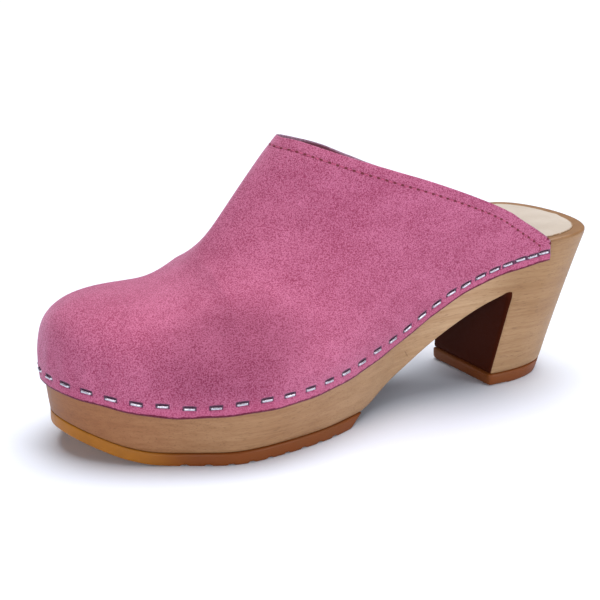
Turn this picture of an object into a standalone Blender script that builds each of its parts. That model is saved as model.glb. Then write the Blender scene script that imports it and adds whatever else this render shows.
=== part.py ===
# Swedish clog, left shoe: carved wood sole with a block heel, stapled suede upper, rubber treads.
# Sizes are in millimetres: x from the back of the heel to the toe, y to the wearer's left, z up.
import math

import bmesh
import bpy
import numpy as np

for item in list(bpy.data.objects):
    bpy.data.objects.remove(item, do_unlink=True)

MM = 0.001
GAP = 0.3

# Driving sizes of the shoe
LENGTH = 242.5
BALL_HALF_WIDTH = 47.5
HEEL_HALF_WIDTH = 32.4
HEEL_HEIGHT = 64.0
PEAK_HEIGHT = 113.5
ORIGIN_X = 122.95
ORIGIN_Y = 2.21

# Rim of the wood in plan: the toe and heel ends are rounded over these fractions of the length
HEEL_ROUND = 0.13
HEEL_POWER = 2.27
TOE_ROUND = 0.70
TOE_POWER = 2.17
WIDTH_COLUMNS = ("station", "half_width")
WIDTH_ROWS = (
    (0.12, HEEL_HALF_WIDTH),
    (0.40, 27.6),
    (0.68, BALL_HALF_WIDTH),
    (0.86, 44.2),
)
# Middle of the foot, which swings outward at the ball and inward at the toe
SWING_COLUMNS = ("station", "centre")
SWING_ROWS = (
    (0.00, 0.0),
    (0.12, 0.0),
    (0.40, 0.2),
    (0.68, 2.3),
    (0.86, 0.6),
    (0.95, -1.2),
)

# Height of the rim along the foot
RISE_COLUMNS = ("station", "height")
RISE_ROWS = (
    (0.00, HEEL_HEIGHT),
    (0.06, 65.6),
    (0.13, 65.2),
    (0.20, 62.2),
    (0.27, 56.9),
    (0.34, 50.1),
    (0.42, 41.2),
    (0.50, 36.2),
    (0.60, 32.4),
    (0.72, 31.5),
    (0.86, 30.8),
    (0.94, 33.8),
    (1.00, 37.2),
)

# Underside of the wood: waist, flat forefoot and toe spring
UNDER_COLUMNS = ("x", "height")
UNDER_ROWS = (
    (47.0, 43.2),
    (60.0, 38.1),
    (74.0, 30.8),
    (87.0, 23.3),
    (101.0, 13.9),
    (112.0, 7.9),
    (118.0, 5.6),
    (123.5, 4.8),
    (205.0, 4.8),
    (213.0, 5.3),
    (222.0, 7.1),
    (231.0, 10.5),
    (240.5, 14.8),
)

# Lower edge of the wood in plan, from the heel seat of the tip to the toe
LOW_COLUMNS = ("station", "half_width", "centre")
LOW_ROWS = (
    (0.00, 21.1, 0.0),
    (0.18, 21.1, 0.0),
    (0.28, 19.0, 0.0),
    (0.40, 18.5, 0.6),
    (0.52, 32.0, 1.6),
    (0.60, 39.4, 2.1),
    (0.68, 43.3, 2.3),
    (0.76, 45.5, 1.6),
    (0.86, 41.2, 0.4),
    (0.95, 41.0, -1.0),
)
TOE_UNDERCUT = 2.0
TOE_UNDERCUT_START = 0.72
HEEL_SEAT = 5.1
HEEL_RAKE = 17.6
HEEL_END_ROUND = 0.17
HEEL_END_POWER = 2.23
BREAST = 0.182
BREAST_RAKE = 10.0
INNER_BREAST_RAKE = 12.0
WAIST_END = 0.50
SIDE_BELLY = 0.6
SIDE_BELLY_START = 0.20
HEEL_HOLLOW = 0.18
HEEL_HOLLOW_END = 0.06

# Footbed and insole
RIM_CHAMFER = 1.4
DISH = 2.4
INSOLE_INSET = 4.8
INSOLE_THICKNESS = 1.3

# Upper: ribs rise from the rim to the spine of the vamp
WALL = 1.6
LAP = 9.6
REAR_CORNER = 0.137
PEAK_X = 141.0
SPINE_Y = -4.7
FAN_X = 195.7
FAN_START = 0.914
SPINE_COLUMNS = ("x", "height")
SPINE_ROWS = (
    (PEAK_X, PEAK_HEIGHT),
    (163.3, 87.8),
    (183.6, 65.9),
    (206.0, 60.8),
    (228.3, 61.9),
    (247.6, 61.9),
)
# Fullness of a rib, in plan and in height, from the collar to the toe
RIB_COLUMNS = ("share", "plan", "height")
RIB_ROWS = (
    (0.00, 1.30, 1.40),
    (0.25, 1.84, 1.70),
    (0.55, 1.56, 1.41),
    (1.00, 2.75, 4.20),
)
# The toe leans back as it rises
TOE_LEAN = 0.05
TOE_LEAN_START = 0.6
INNER_FULLNESS = 0.83
INNER_FULLNESS_END = 0.6
COLLAR_BOW = 13.0
BOW_END = 0.5
# The ribs leave the spine squarely, so that the throat and the instep are round
THROAT_ROUND = 0.14
THROAT_FULL = 0.3
THROAT_END = 0.7

# Rubber
TIP_HEIGHT = 4.8
TIP_UNDERCUT = 2.4
TREAD_START = 124.0
TREAD_RAKE = 6.0
TREAD_THICKNESS = 4.5
TREAD_BACK = 0.45
TREAD_TOE_STEPS = 12
GROOVE_FIRST = 138.0
GROOVE_PITCH = 8.0
GROOVE_COUNT = 9
GROOVE_WIDTH = 2.6
GROOVE_DEPTH = 1.4

# Staples through the leather into the wood: evenly spaced round the forefoot, closer towards the heel
STAPLE_LENGTH = 4.8
STAPLE_WIDTH = 1.2
STAPLE_THICKNESS = 0.7
STAPLE_DROP = 5.0
STAPLE_PITCH = 10.0
STAPLE_END = 2.2
STAPLE_TAPER = 0.31
# Columns: side of the foot, spaces round the forefoot, spaces towards the heel
STAPLE_ROWS = (
    ("outer", 16, 11),
    ("inner", 16, 10),
)
# Section of a staple's bar, flat side on the leather. Columns: share of its width, share of its thickness
BAR_ROWS = (
    (-0.5, -0.5),
    (0.5, -0.5),
    (0.5, 0.1),
    (0.25, 0.5),
    (-0.25, 0.5),
    (-0.5, 0.1),
)

# Mesh density
HEEL_STEPS = 8
CORNER_STEPS = 2
FRONT_STEPS = 38
RIB_STEPS = 13
ACROSS_STEPS = 8
SIDE_STEPS = 2
HEEL_SIDE_STEPS = 3
PATH_STEPS = 600
TOE_LEAD = 0.1
TURN_STEP = 0.002
WELD = 0.0005
SHARP_ANGLE = 40.0

WOOD_COLOUR = (0.52, 0.33, 0.17)
SUEDE_COLOUR = (0.52, 0.10, 0.22)
GUM_COLOUR = (0.30, 0.12, 0.03)
SOCK_COLOUR = (0.74, 0.68, 0.58)
STEEL_COLOUR = (0.72, 0.72, 0.74)


def smooth_through(columns, rows, wanted):
    """Natural cubic curve of the wanted column over the first one."""
    at = np.array([row[0] for row in rows])
    value = np.array([row[columns.index(wanted)] for row in rows])
    step = np.diff(at)
    count = len(at)
    system = np.eye(count)
    right = np.zeros(count)
    for i in range(1, count - 1):
        system[i, i - 1:i + 2] = step[i - 1], 2.0 * (step[i - 1] + step[i]), step[i]
        right[i] = 6.0 * ((value[i + 1] - value[i]) / step[i] - (value[i] - value[i - 1]) / step[i - 1])
    bend = np.linalg.solve(system, right)

    def curve(x):
        x = np.clip(np.asarray(x, float), at[0], at[-1])
        k = np.clip(np.searchsorted(at, x, "right") - 1, 0, count - 2)
        ahead = x - at[k]
        left = at[k + 1] - x
        cubic = (bend[k] * left ** 3 + bend[k + 1] * ahead ** 3) / (6.0 * step[k])
        line = (value[k] / step[k] - bend[k] * step[k] / 6.0) * left
        return cubic + line + (value[k + 1] / step[k] - bend[k + 1] * step[k] / 6.0) * ahead

    return curve


def steady_through(columns, rows, wanted):
    """Cubic curve of the wanted column that never overshoots its rows, for profiles with flats."""
    at = np.array([row[0] for row in rows])
    value = np.array([row[columns.index(wanted)] for row in rows])
    step = np.diff(at)
    rise = np.diff(value) / step
    slope = np.zeros(len(at))
    slope[0] = rise[0]
    slope[-1] = rise[-1]
    for i in range(1, len(at) - 1):
        if rise[i - 1] * rise[i] > 0.0:
            before = 2.0 * step[i] + step[i - 1]
            after = step[i] + 2.0 * step[i - 1]
            slope[i] = (before + after) / (before / rise[i - 1] + after / rise[i])

    def curve(x):
        x = np.clip(np.asarray(x, float), at[0], at[-1])
        k = np.clip(np.searchsorted(at, x, "right") - 1, 0, len(step) - 1)
        u = (x - at[k]) / step[k]
        start = (1.0 + 2.0 * u) * (1.0 - u) ** 2 * value[k] + u * (1.0 - u) ** 2 * step[k] * slope[k]
        return start + u * u * (3.0 - 2.0 * u) * value[k + 1] + u * u * (u - 1.0) * step[k] * slope[k + 1]

    return curve


def blend(low, high, x):
    t = np.clip((np.asarray(x, float) - low) / (high - low), 0.0, 1.0)
    return t * t * (3.0 - 2.0 * t)


rim_half = smooth_through(WIDTH_COLUMNS, WIDTH_ROWS, "half_width")
rim_centre = smooth_through(SWING_COLUMNS, SWING_ROWS, "centre")
rim_height = smooth_through(RISE_COLUMNS, RISE_ROWS, "height")
under_height = steady_through(UNDER_COLUMNS, UNDER_ROWS, "height")
low_half = steady_through(LOW_COLUMNS, LOW_ROWS, "half_width")
low_centre = steady_through(LOW_COLUMNS, LOW_ROWS, "centre")
spine_height = smooth_through(SPINE_COLUMNS, SPINE_ROWS, "height")
rib_plan = smooth_through(RIB_COLUMNS, RIB_ROWS, "plan")
rib_height = smooth_through(RIB_COLUMNS, RIB_ROWS, "height")


def roundness(station, heel_round, power, root):
    """Share of the full width left at a station by the rounded toe and heel ends."""
    toe = np.clip((station - TOE_ROUND) / (1.0 - TOE_ROUND), 0.0, 1.0)
    heel = np.clip((heel_round - station) / heel_round, 0.0, 1.0)
    toe_end = np.sqrt(np.clip(1.0 - toe ** TOE_POWER, 0.0, 1.0))
    heel_end = np.clip(1.0 - heel ** power, 0.0, 1.0) ** root
    return toe_end * heel_end


def station_of(turn):
    """A turn runs from 0 at the back of the heel to pi at the toe, and is negative on the inner side."""
    return (1.0 - np.cos(turn)) / 2.0


def side_of(turn):
    return np.where(np.sin(turn) < 0.0, -1.0, 1.0)


def rim(turn):
    """Top outer edge of the wood."""
    s = station_of(turn)
    y = rim_centre(s) + side_of(turn) * rim_half(s) * roundness(s, HEEL_ROUND, HEEL_POWER, 0.5)
    return np.stack([s * LENGTH, y, rim_height(s)], -1)


def outward(turn):
    """Unit vector in plan, square to the rim and away from the foot."""
    along = rim(turn + TURN_STEP)[..., :2] - rim(turn - TURN_STEP)[..., :2]
    across = np.stack([-along[..., 1], along[..., 0]], -1)
    return across / np.linalg.norm(across, axis=-1, keepdims=True)


def rim_moved(turn, distance):
    """The rim moved outward in plan."""
    moved = rim(turn)
    moved[..., :2] += outward(turn) * distance
    return moved


def lower_edge(turn):
    """Lower edge of the uncut side: the heel seat at the back, the underside at the front."""
    s = station_of(turn)
    breast_rake = np.where(side_of(turn) < 0.0, INNER_BREAST_RAKE, BREAST_RAKE)
    rake = HEEL_RAKE + (breast_rake - HEEL_RAKE) * np.clip(s / BREAST, 0.0, 1.0)
    undercut = TOE_UNDERCUT * blend(TOE_UNDERCUT_START, 1.0, s)
    x = s * LENGTH + rake * (1.0 - blend(BREAST, WAIST_END, s)) - undercut
    width = low_half(s) * roundness(s, HEEL_END_ROUND, HEEL_END_POWER, 1.0 / HEEL_END_POWER)
    z = np.where(s < WAIST_END, HEEL_SEAT, under_height(x))
    return np.stack([x, low_centre(s) + side_of(turn) * width, z], -1)


def side_point(turn, share):
    """Point on the side of the wood, from the rim (0) to the lower edge (1)."""
    top = rim(turn)
    low = lower_edge(turn)
    share = np.asarray(share, float) + np.zeros(np.shape(turn))
    s = station_of(turn)
    belly = SIDE_BELLY * blend(SIDE_BELLY_START, WAIST_END, s)
    hollow = HEEL_HOLLOW * (1.0 - blend(0.0, HEEL_HOLLOW_END, s))
    inward = share ** (1.0 + belly - hollow)
    plan = top[..., :2] + (low[..., :2] - top[..., :2]) * inward[..., None]
    height = top[..., 2] + (low[..., 2] - top[..., 2]) * share
    return np.concatenate([plan, height[..., None]], -1)


def share_below_rim(turn, drop):
    return drop / (rim(turn)[..., 2] - lower_edge(turn)[..., 2])


def share_at_waist(turn):
    """Where the side meets the arched underside."""
    low = np.zeros(np.shape(turn))
    high = np.ones(np.shape(turn))
    for _ in range(30):
        middle = (low + high) / 2.0
        point = side_point(turn, middle)
        above = point[..., 2] > under_height(point[..., 0])
        low = np.where(above, middle, low)
        high = np.where(above, high, middle)
    return np.where(station_of(turn) >= WAIST_END, 1.0, high)


def footbed(point):
    """Height of the dished footbed under a point in plan."""
    s = np.clip(point[..., 0] / LENGTH, 0.0, 1.0)
    full = roundness(s, HEEL_ROUND, HEEL_POWER, 0.5)
    half = np.maximum(rim_half(s) * full, 0.5)
    off = np.clip((point[..., 1] - rim_centre(s)) / half, -1.0, 1.0)
    return rim_height(s) - DISH * full ** 2 * (1.0 - off ** 2)


def turn_at(station):
    return math.acos(1.0 - 2.0 * station)


heel_turns = np.linspace(0.0, turn_at(REAR_CORNER), HEEL_STEPS + 1)
corner_turns = np.linspace(turn_at(REAR_CORNER), turn_at(BREAST), CORNER_STEPS + 1)
front_turns = np.linspace(turn_at(BREAST), math.pi, FRONT_STEPS + 1)
back_turns = np.concatenate([heel_turns[:-1], corner_turns])
all_turns = np.concatenate([back_turns, front_turns[1:]])
upper_turns = np.concatenate([corner_turns, front_turns[1:]])


class Skin:
    """Collects grids of points into one closed mesh, joining points that coincide."""

    def __init__(self):
        self.points = []
        self.index = {}
        self.faces = []

    def add(self, point):
        key = tuple(int(round(c / WELD)) for c in point)
        if key not in self.index:
            self.index[key] = len(self.points)
            self.points.append(tuple(point))
        return self.index[key]

    def grid(self, rows):
        """Quads between neighbouring rows of points."""
        marks = [[self.add(p) for p in row] for row in rows]
        for first, second in zip(marks[:-1], marks[1:]):
            for i in range(len(first) - 1):
                corners = [first[i], first[i + 1], second[i + 1], second[i]]
                kept = [c for k, c in enumerate(corners) if c not in corners[:k]]
                if len(kept) > 2:
                    self.faces.append(kept)

    def cap(self, points):
        """One flat face over a closed row of points."""
        self.faces.append([self.add(p) for p in points])

    def build(self, name, material):
        shift = np.array([ORIGIN_X, ORIGIN_Y, 0.0])
        mesh = bpy.data.meshes.new(name)
        mesh.from_pydata([tuple((np.array(p) - shift) * MM) for p in self.points], [], self.faces)
        shape = bmesh.new()
        shape.from_mesh(mesh)
        bmesh.ops.recalc_face_normals(shape, faces=shape.faces)
        bmesh.ops.triangulate(shape, faces=shape.faces)
        shape.to_mesh(mesh)
        shape.free()
        mesh.materials.append(material)
        mesh.shade_smooth()
        mesh.set_sharp_from_angle(angle=math.radians(SHARP_ANGLE))
        item = bpy.data.objects.new(name, mesh)
        bpy.context.collection.objects.link(item)
        return item


def across(near, far, steps):
    """Rows of points from the outer side to the inner side of the foot."""
    share = np.linspace(0.0, 1.0, steps + 1)[None, :, None]
    return near[:, None, :] * (1.0 - share) + far[:, None, :] * share


def principled(name, colour, roughness, metallic=0.0):
    material = bpy.data.materials.new(name)
    material.use_nodes = True
    shader = material.node_tree.nodes["Principled BSDF"]
    shader.inputs["Base Color"].default_value = (*colour, 1.0)
    shader.inputs["Roughness"].default_value = roughness
    shader.inputs["Metallic"].default_value = metallic
    return material


def make_wood_sole():
    skin = Skin()
    waist_top = float(share_at_waist(np.array([turn_at(BREAST) + 1e-5]))[0])
    for side in (1.0, -1.0):
        for turns, heel in ((back_turns, True), (front_turns, False)):
            turn = turns * side
            edge = share_below_rim(turn, RIM_CHAMFER)
            lap = share_below_rim(turn, LAP)
            foot = np.full(len(turn), waist_top) if heel else share_at_waist(turn)
            if not heel:
                foot[0] = waist_top
            shares = [edge, (edge + lap) / 2.0, lap]
            shares += [lap + (foot - lap) * k / SIDE_STEPS for k in range(1, SIDE_STEPS + 1)]
            if heel:
                shares += [foot + (1.0 - foot) * k / HEEL_SIDE_STEPS for k in range(1, HEEL_SIDE_STEPS + 1)]
            skin.grid([side_point(turn, share) for share in shares])
        crest = rim_moved(all_turns * side, -RIM_CHAMFER)
        crest[:, 2] = footbed(crest)
        skin.grid([side_point(all_turns * side, share_below_rim(all_turns * side, RIM_CHAMFER)), crest])

    top = across(rim_moved(all_turns, -RIM_CHAMFER), rim_moved(-all_turns, -RIM_CHAMFER), ACROSS_STEPS)
    top[..., 2] = footbed(top)
    skin.grid(top)
    skin.grid(across(lower_edge(back_turns), lower_edge(-back_turns), ACROSS_STEPS))
    foot = share_at_waist(front_turns)
    inner_foot = share_at_waist(-front_turns)
    foot[0] = waist_top
    inner_foot[0] = waist_top
    skin.grid(across(side_point(front_turns, foot), side_point(-front_turns, inner_foot), ACROSS_STEPS))
    drops = waist_top + (1.0 - waist_top) * np.arange(HEEL_SIDE_STEPS + 1) / HEEL_SIDE_STEPS
    breast = np.full(len(drops), turn_at(BREAST))
    skin.grid(across(side_point(breast, drops), side_point(-breast, drops), ACROSS_STEPS))
    return skin.build("wood_sole", principled("pale_wood", WOOD_COLOUR, 0.55))


def make_insole():
    skin = Skin()
    near = rim_moved(all_turns, -INSOLE_INSET)
    far = rim_moved(-all_turns, -INSOLE_INSET)
    sheets = []
    for lift in (GAP, GAP + INSOLE_THICKNESS):
        sheet = across(near, far, ACROSS_STEPS)
        sheet[..., 2] = footbed(sheet) + lift
        sheets.append(sheet)
        skin.grid(sheet)
    for edge in (0, -1):
        skin.grid([sheets[0][:, edge], sheets[1][:, edge]])
    return skin.build("insole", principled("sock_lining", SOCK_COLOUR, 0.6))


def rib_share(turns):
    """Share of the way from the rear corner to the toe, measured along the rim."""
    steps = np.linalg.norm(np.diff(rim(turns)[:, :2], axis=0), axis=1)
    steps += np.linalg.norm(np.diff(rim(-turns)[:, :2], axis=0), axis=1)
    run = np.concatenate([[0.0], np.cumsum(steps)])
    return run / run[-1]


def ribs(turns, side, offset, sink):
    """Rows of points from the rim up to the spine, one row for each step of height."""
    share = rib_share(turns)
    base = rim_moved(turns * side, offset)
    along = np.clip(share / FAN_START, 0.0, 1.0)
    spine = np.stack([PEAK_X + (FAN_X - PEAK_X) * along, np.full(len(turns), SPINE_Y)], -1)
    plan_power = rib_plan(share)
    height_power = rib_height(share)
    if side < 0.0:
        near_collar = 1.0 - blend(0.0, INNER_FULLNESS_END, share)
        height_power = height_power * (1.0 + (INNER_FULLNESS - 1.0) * near_collar)
    reach = base[:, :2] - spine
    out = reach / np.linalg.norm(reach, axis=1, keepdims=True)
    forward = np.stack([out[:, 1] * side, -out[:, 0] * side], -1)
    bow = 4.0 * COLLAR_BOW * (1.0 - blend(0.0, BOW_END, share))
    turn_back = THROAT_ROUND * (1.0 - blend(THROAT_FULL, THROAT_END, share))
    lean = TOE_LEAN * blend(TOE_LEAN_START, 1.0, share)
    rows = []
    for angle in np.linspace(0.0, math.pi / 2.0, RIB_STEPS + 1):
        level = max(math.cos(angle), 0.0)
        inward = level ** (2.0 / plan_power) if level > 1e-9 else np.zeros(len(turns))
        upward = math.sin(angle) ** (2.0 / height_power)
        inward = inward * (1.0 - lean * upward)
        lengthwise = (np.hypot(inward, turn_back) - turn_back) / (np.hypot(1.0, turn_back) - turn_back)
        swept = np.stack([lengthwise, inward], -1)
        plan = spine + reach * swept + forward * bow[:, None] * swept * (1.0 - swept)
        at = np.maximum(plan[:, 0], spine[:, 0])
        slope = spine_height(at + 0.5) - spine_height(at - 0.5)
        top = spine_height(at) - sink * np.sqrt(1.0 + slope ** 2)
        height = base[:, 2] + (top - base[:, 2]) * upward
        rows.append(np.concatenate([plan, height[:, None]], -1))
    return rows


def lap_rows(turns, side, offset):
    """Rows of points on the band of leather that laps the side of the wood, from its lower edge up."""
    rows = []
    for drop in (LAP, (RIM_CHAMFER + LAP) / 2.0):
        row = side_point(turns * side, share_below_rim(turns * side, drop))
        row[:, :2] += outward(turns * side) * offset
        rows.append(row)
    return rows


def make_upper():
    skin = Skin()
    for side in (1.0, -1.0):
        skins = []
        for offset, sink in ((GAP + WALL, 0.0), (GAP, WALL)):
            rows = lap_rows(upper_turns, side, offset) + ribs(upper_turns, side, offset, sink)
            skins.append(rows)
            skin.grid(rows)
        skin.grid([skins[0][0], skins[1][0]])
        collar = [np.array([row[0] for row in rows]) for rows in skins]
        skin.grid(collar)
    return skin.build("upper", principled("suede", SUEDE_COLOUR, 0.9))


def make_heel_tip():
    skin = Skin()
    levels = []
    for height in (TIP_HEIGHT, 0.0):
        near = lower_edge(back_turns)
        far = lower_edge(-back_turns)
        undercut = TIP_UNDERCUT * (1.0 - height / TIP_HEIGHT) * (1.0 - station_of(back_turns) / BREAST)
        for edge in (near, far):
            edge[:, 0] += undercut
            edge[:, 2] = height
        levels.append((near, far))
        skin.grid(across(near, far, 1))
    for side in (0, 1):
        skin.grid([levels[0][side], levels[1][side]])
    front = [np.array([level[0][-1], level[1][-1]]) for level in levels]
    skin.grid(front)
    return skin.build("heel_tip", principled("heel_rubber", GUM_COLOUR, 0.5))


def tread_point(x, side, height):
    """Point on the side of the tread, by its height above the tread's lower face."""
    turns = np.linspace(turn_at(TREAD_BACK), math.pi, PATH_STEPS)
    edge = lower_edge(turns * side)
    y = np.interp(x, edge[:, 0], edge[:, 1])
    z = under_height(x) - GAP - TREAD_THICKNESS + height
    return np.stack([x, y, z], -1)


def make_outsole():
    skin = Skin()
    groove_left = GROOVE_FIRST + GROOVE_PITCH * np.arange(GROOVE_COUNT)
    groove_right = groove_left + GROOVE_WIDTH
    toe_turns = np.linspace(turn_at((groove_right[-1] + GROOVE_PITCH) / LENGTH), math.pi, TREAD_TOE_STEPS)
    lands = np.sort(np.concatenate([groove_left, groove_right]))
    marks = np.concatenate([[TREAD_START], lands, lower_edge(toe_turns)[:, 0]])
    in_groove = [x in groove_left for x in marks[:-1]]

    sides = []
    for side in (1.0, -1.0):
        levels = []
        for height in (TREAD_THICKNESS, GROOVE_DEPTH, 0.0):
            x = marks.copy()
            x[0] += TREAD_RAKE * (1.0 - height / TREAD_THICKNESS)
            levels.append(tread_point(x, side, height))
        sides.append(levels)
        skin.grid(levels[:2])
    (near_top, near_middle, near_low), (far_top, far_middle, far_low) = sides
    skin.grid([near_top, far_top])
    for k, groove in enumerate(in_groove):
        span = slice(k, k + 2)
        near, far = (near_middle, far_middle) if groove else (near_low, far_low)
        skin.grid([near[span], far[span]])
        if groove:
            for end in (k, k + 1):
                skin.grid([[near_middle[end], far_middle[end]], [near_low[end], far_low[end]]])
        else:
            skin.grid([near_middle[span], near_low[span]])
            skin.grid([far_middle[span], far_low[span]])
    skin.grid([[level[0] for level in sides[0]], [level[0] for level in sides[1]]])
    return skin.build("outsole", principled("gum_rubber", GUM_COLOUR, 0.5))


def staple_path(side):
    """Line of the staples' bars from just past the toe to the rear corner, and the distance from the toe."""
    turns = np.linspace(math.pi + TOE_LEAD, turn_at(REAR_CORNER), PATH_STEPS)
    path = side_point(turns * side, share_below_rim(turns * side, STAPLE_DROP))
    out = outward(turns * side)
    path[:, :2] += out * (GAP + WALL + GAP + STAPLE_THICKNESS / 2.0)
    steps = np.linalg.norm(np.diff(path, axis=0), axis=1)
    run = np.concatenate([[0.0], np.cumsum(steps)])
    return path, out, run - np.interp(-math.pi, -turns, run)


def staple_marks(forefoot, rear, end):
    """Distances of the staples from the toe, the first half a space from it."""
    even = STAPLE_PITCH * (np.arange(forefoot + 1) + 0.5)
    share = np.arange(1, rear + 1) / rear
    closer = share + STAPLE_TAPER * share * (1.0 - share)
    return np.concatenate([even, even[-1] + (end - STAPLE_END - even[-1]) * closer])


def along_path(values, run, mark):
    return np.array([np.interp(mark, run, column) for column in values.T])


def make_staples():
    steel = principled("staple_steel", STEEL_COLOUR, 0.3, metallic=1.0)
    for name, forefoot, rear in STAPLE_ROWS:
        path, out, run = staple_path(1.0 if name == "outer" else -1.0)
        for number, mark in enumerate(staple_marks(forefoot, rear, run[-1]), 1):
            start = along_path(path, run, mark - STAPLE_LENGTH / 2.0)
            end = along_path(path, run, mark + STAPLE_LENGTH / 2.0)
            along = (end - start) / np.linalg.norm(end - start)
            face = np.append(along_path(out, run, mark), 0.0)
            face -= along * face.dot(along)
            face /= np.linalg.norm(face)
            up = np.cross(face, along)
            skin = Skin()
            rings = []
            for corner in (start, end):
                ring = [corner + up * STAPLE_WIDTH * w + face * STAPLE_THICKNESS * t for w, t in BAR_ROWS]
                skin.cap(ring)
                rings.append(ring + ring[:1])
            skin.grid(rings)
            skin.build("staple_%s_%02d" % (name, number), steel)


make_wood_sole()
make_insole()
make_upper()
make_heel_tip()
make_outsole()
make_staples()
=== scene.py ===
import math

import bmesh
import bpy
import numpy as np
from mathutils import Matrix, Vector


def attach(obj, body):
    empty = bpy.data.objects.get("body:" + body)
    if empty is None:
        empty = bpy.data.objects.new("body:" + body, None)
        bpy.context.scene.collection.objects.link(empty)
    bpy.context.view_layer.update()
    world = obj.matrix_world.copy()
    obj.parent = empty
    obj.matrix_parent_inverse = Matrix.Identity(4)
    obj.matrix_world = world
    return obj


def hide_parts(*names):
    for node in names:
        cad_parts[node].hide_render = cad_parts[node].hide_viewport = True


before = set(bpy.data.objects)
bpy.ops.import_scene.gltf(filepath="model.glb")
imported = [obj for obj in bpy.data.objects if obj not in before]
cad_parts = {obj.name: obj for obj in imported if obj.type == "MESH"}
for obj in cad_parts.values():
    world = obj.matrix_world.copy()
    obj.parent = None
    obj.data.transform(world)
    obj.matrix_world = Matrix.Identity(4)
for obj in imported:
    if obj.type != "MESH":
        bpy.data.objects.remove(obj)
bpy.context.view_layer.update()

mm = 0.001
gap = 0.3  # play between neighbouring pieces, mm
weld = 0.001  # points of a piece that are closer than this are one, mm
farOff = 99.0  # out of reach of any mark, mm
fineSteps = 900  # points on a line that is measured
bothSides = (1.0, -1.0)  # outer, inner


# Curves through rows of (place, value)
def smoothThrough(rows):  # an even bend from row to row
    at = np.array([row[0] for row in rows])
    value = np.array([row[1] for row in rows])
    step = np.diff(at)
    count = len(at)
    system = np.eye(count)
    right = np.zeros(count)
    for i in range(1, count - 1):
        system[i, i - 1:i + 2] = step[i - 1], 2.0 * (step[i - 1] + step[i]), step[i]
        right[i] = 6.0 * ((value[i + 1] - value[i]) / step[i] - (value[i] - value[i - 1]) / step[i - 1])
    bend = np.linalg.solve(system, right)

    def curve(x):
        x = np.clip(np.asarray(x, float), at[0], at[-1])
        k = np.clip(np.searchsorted(at, x, "right") - 1, 0, count - 2)
        ahead = x - at[k]
        left = at[k + 1] - x
        cubic = (bend[k] * left ** 3 + bend[k + 1] * ahead ** 3) / (6.0 * step[k])
        line = (value[k] / step[k] - bend[k] * step[k] / 6.0) * left
        return cubic + line + (value[k + 1] / step[k] - bend[k + 1] * step[k] / 6.0) * ahead

    return curve


def steadyThrough(rows):  # never overshoots its rows
    at = np.array([row[0] for row in rows])
    value = np.array([row[1] for row in rows])
    step = np.diff(at)
    rise = np.diff(value) / step
    slope = np.zeros(len(at))
    slope[0] = rise[0]
    slope[-1] = rise[-1]
    for i in range(1, len(at) - 1):
        if rise[i - 1] * rise[i] > 0.0:
            before = 2.0 * step[i] + step[i - 1]
            after = step[i] + 2.0 * step[i - 1]
            slope[i] = (before + after) / (before / rise[i - 1] + after / rise[i])

    def curve(x):
        x = np.clip(np.asarray(x, float), at[0], at[-1])
        k = np.clip(np.searchsorted(at, x, "right") - 1, 0, len(step) - 1)
        u = (x - at[k]) / step[k]
        start = (1.0 + 2.0 * u) * (1.0 - u) ** 2 * value[k] + u * (1.0 - u) ** 2 * step[k] * slope[k]
        return start + u * u * (3.0 - 2.0 * u) * value[k + 1] + u * u * (u - 1.0) * step[k] * slope[k + 1]

    return curve


def blend(low, high, x):  # eases from 0 to 1
    t = np.clip((np.asarray(x, float) - low) / (high - low), 0.0, 1.0)
    return t * t * (3.0 - 2.0 * t)


# Mesh helpers
def lengthsAlong(points):  # distance of each point from the first
    steps = np.linalg.norm(np.diff(points, axis=0), axis=-1)
    return np.concatenate([np.zeros((1,) + steps.shape[1:]), np.cumsum(steps, axis=0)])


def readAt(path, run, mark):  # a path's values at one or more distances along it
    return np.stack([np.interp(mark, run, axis) for axis in path.T], -1)


def across(near, far, steps):  # straight rows from one line to the other
    share = np.linspace(0.0, 1.0, steps + 1)[None, :, None]
    return near[:, None, :] * (1.0 - share) + far[:, None, :] * share


def toFrame(points):
    return (np.asarray(points) - np.array([last["originX"], last["originY"], 0.0])) * mm


def makePiece(name, grids, materials, marks=None):  # grids: (points, material number)
    points = np.concatenate([grid.reshape(-1, 3) for grid, _ in grids])
    keys = np.round(points / weld).astype(np.int64)
    _, first, back = np.unique(keys, axis=0, return_index=True, return_inverse=True)
    back = back.reshape(-1)
    faces = []
    numbers = []
    start = 0
    for grid, number in grids:
        rows, columns = grid.shape[:2]
        index = back[start:start + rows * columns].reshape(rows, columns)
        start += rows * columns
        quads = np.stack([index[:-1, :-1], index[:-1, 1:], index[1:, 1:], index[1:, :-1]], -1).reshape(-1, 4)
        for quad in quads.tolist():
            kept = list(dict.fromkeys(quad))
            if len(kept) > 2:
                faces.append(kept)
                numbers.append(number)
    mesh = bpy.data.meshes.new(name)
    mesh.from_pydata(toFrame(points[first]).tolist(), [], faces)
    mesh.polygons.foreach_set("material_index", numbers)
    if marks is not None:
        layer = mesh.attributes.new("marks", "FLOAT_COLOR", "POINT")
        layer.data.foreach_set("color", marks[first].astype(np.float32).ravel())
    shape = bmesh.new()
    shape.from_mesh(mesh)
    bmesh.ops.remove_doubles(shape, verts=shape.verts, dist=2.0 * weld * mm)
    bmesh.ops.recalc_face_normals(shape, faces=shape.faces)
    shape.to_mesh(mesh)
    shape.free()
    mesh.shade_smooth()
    for material in materials:
        mesh.materials.append(material)
    piece = bpy.data.objects.new(name, mesh)
    bpy.context.collection.objects.link(piece)
    return piece


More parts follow.
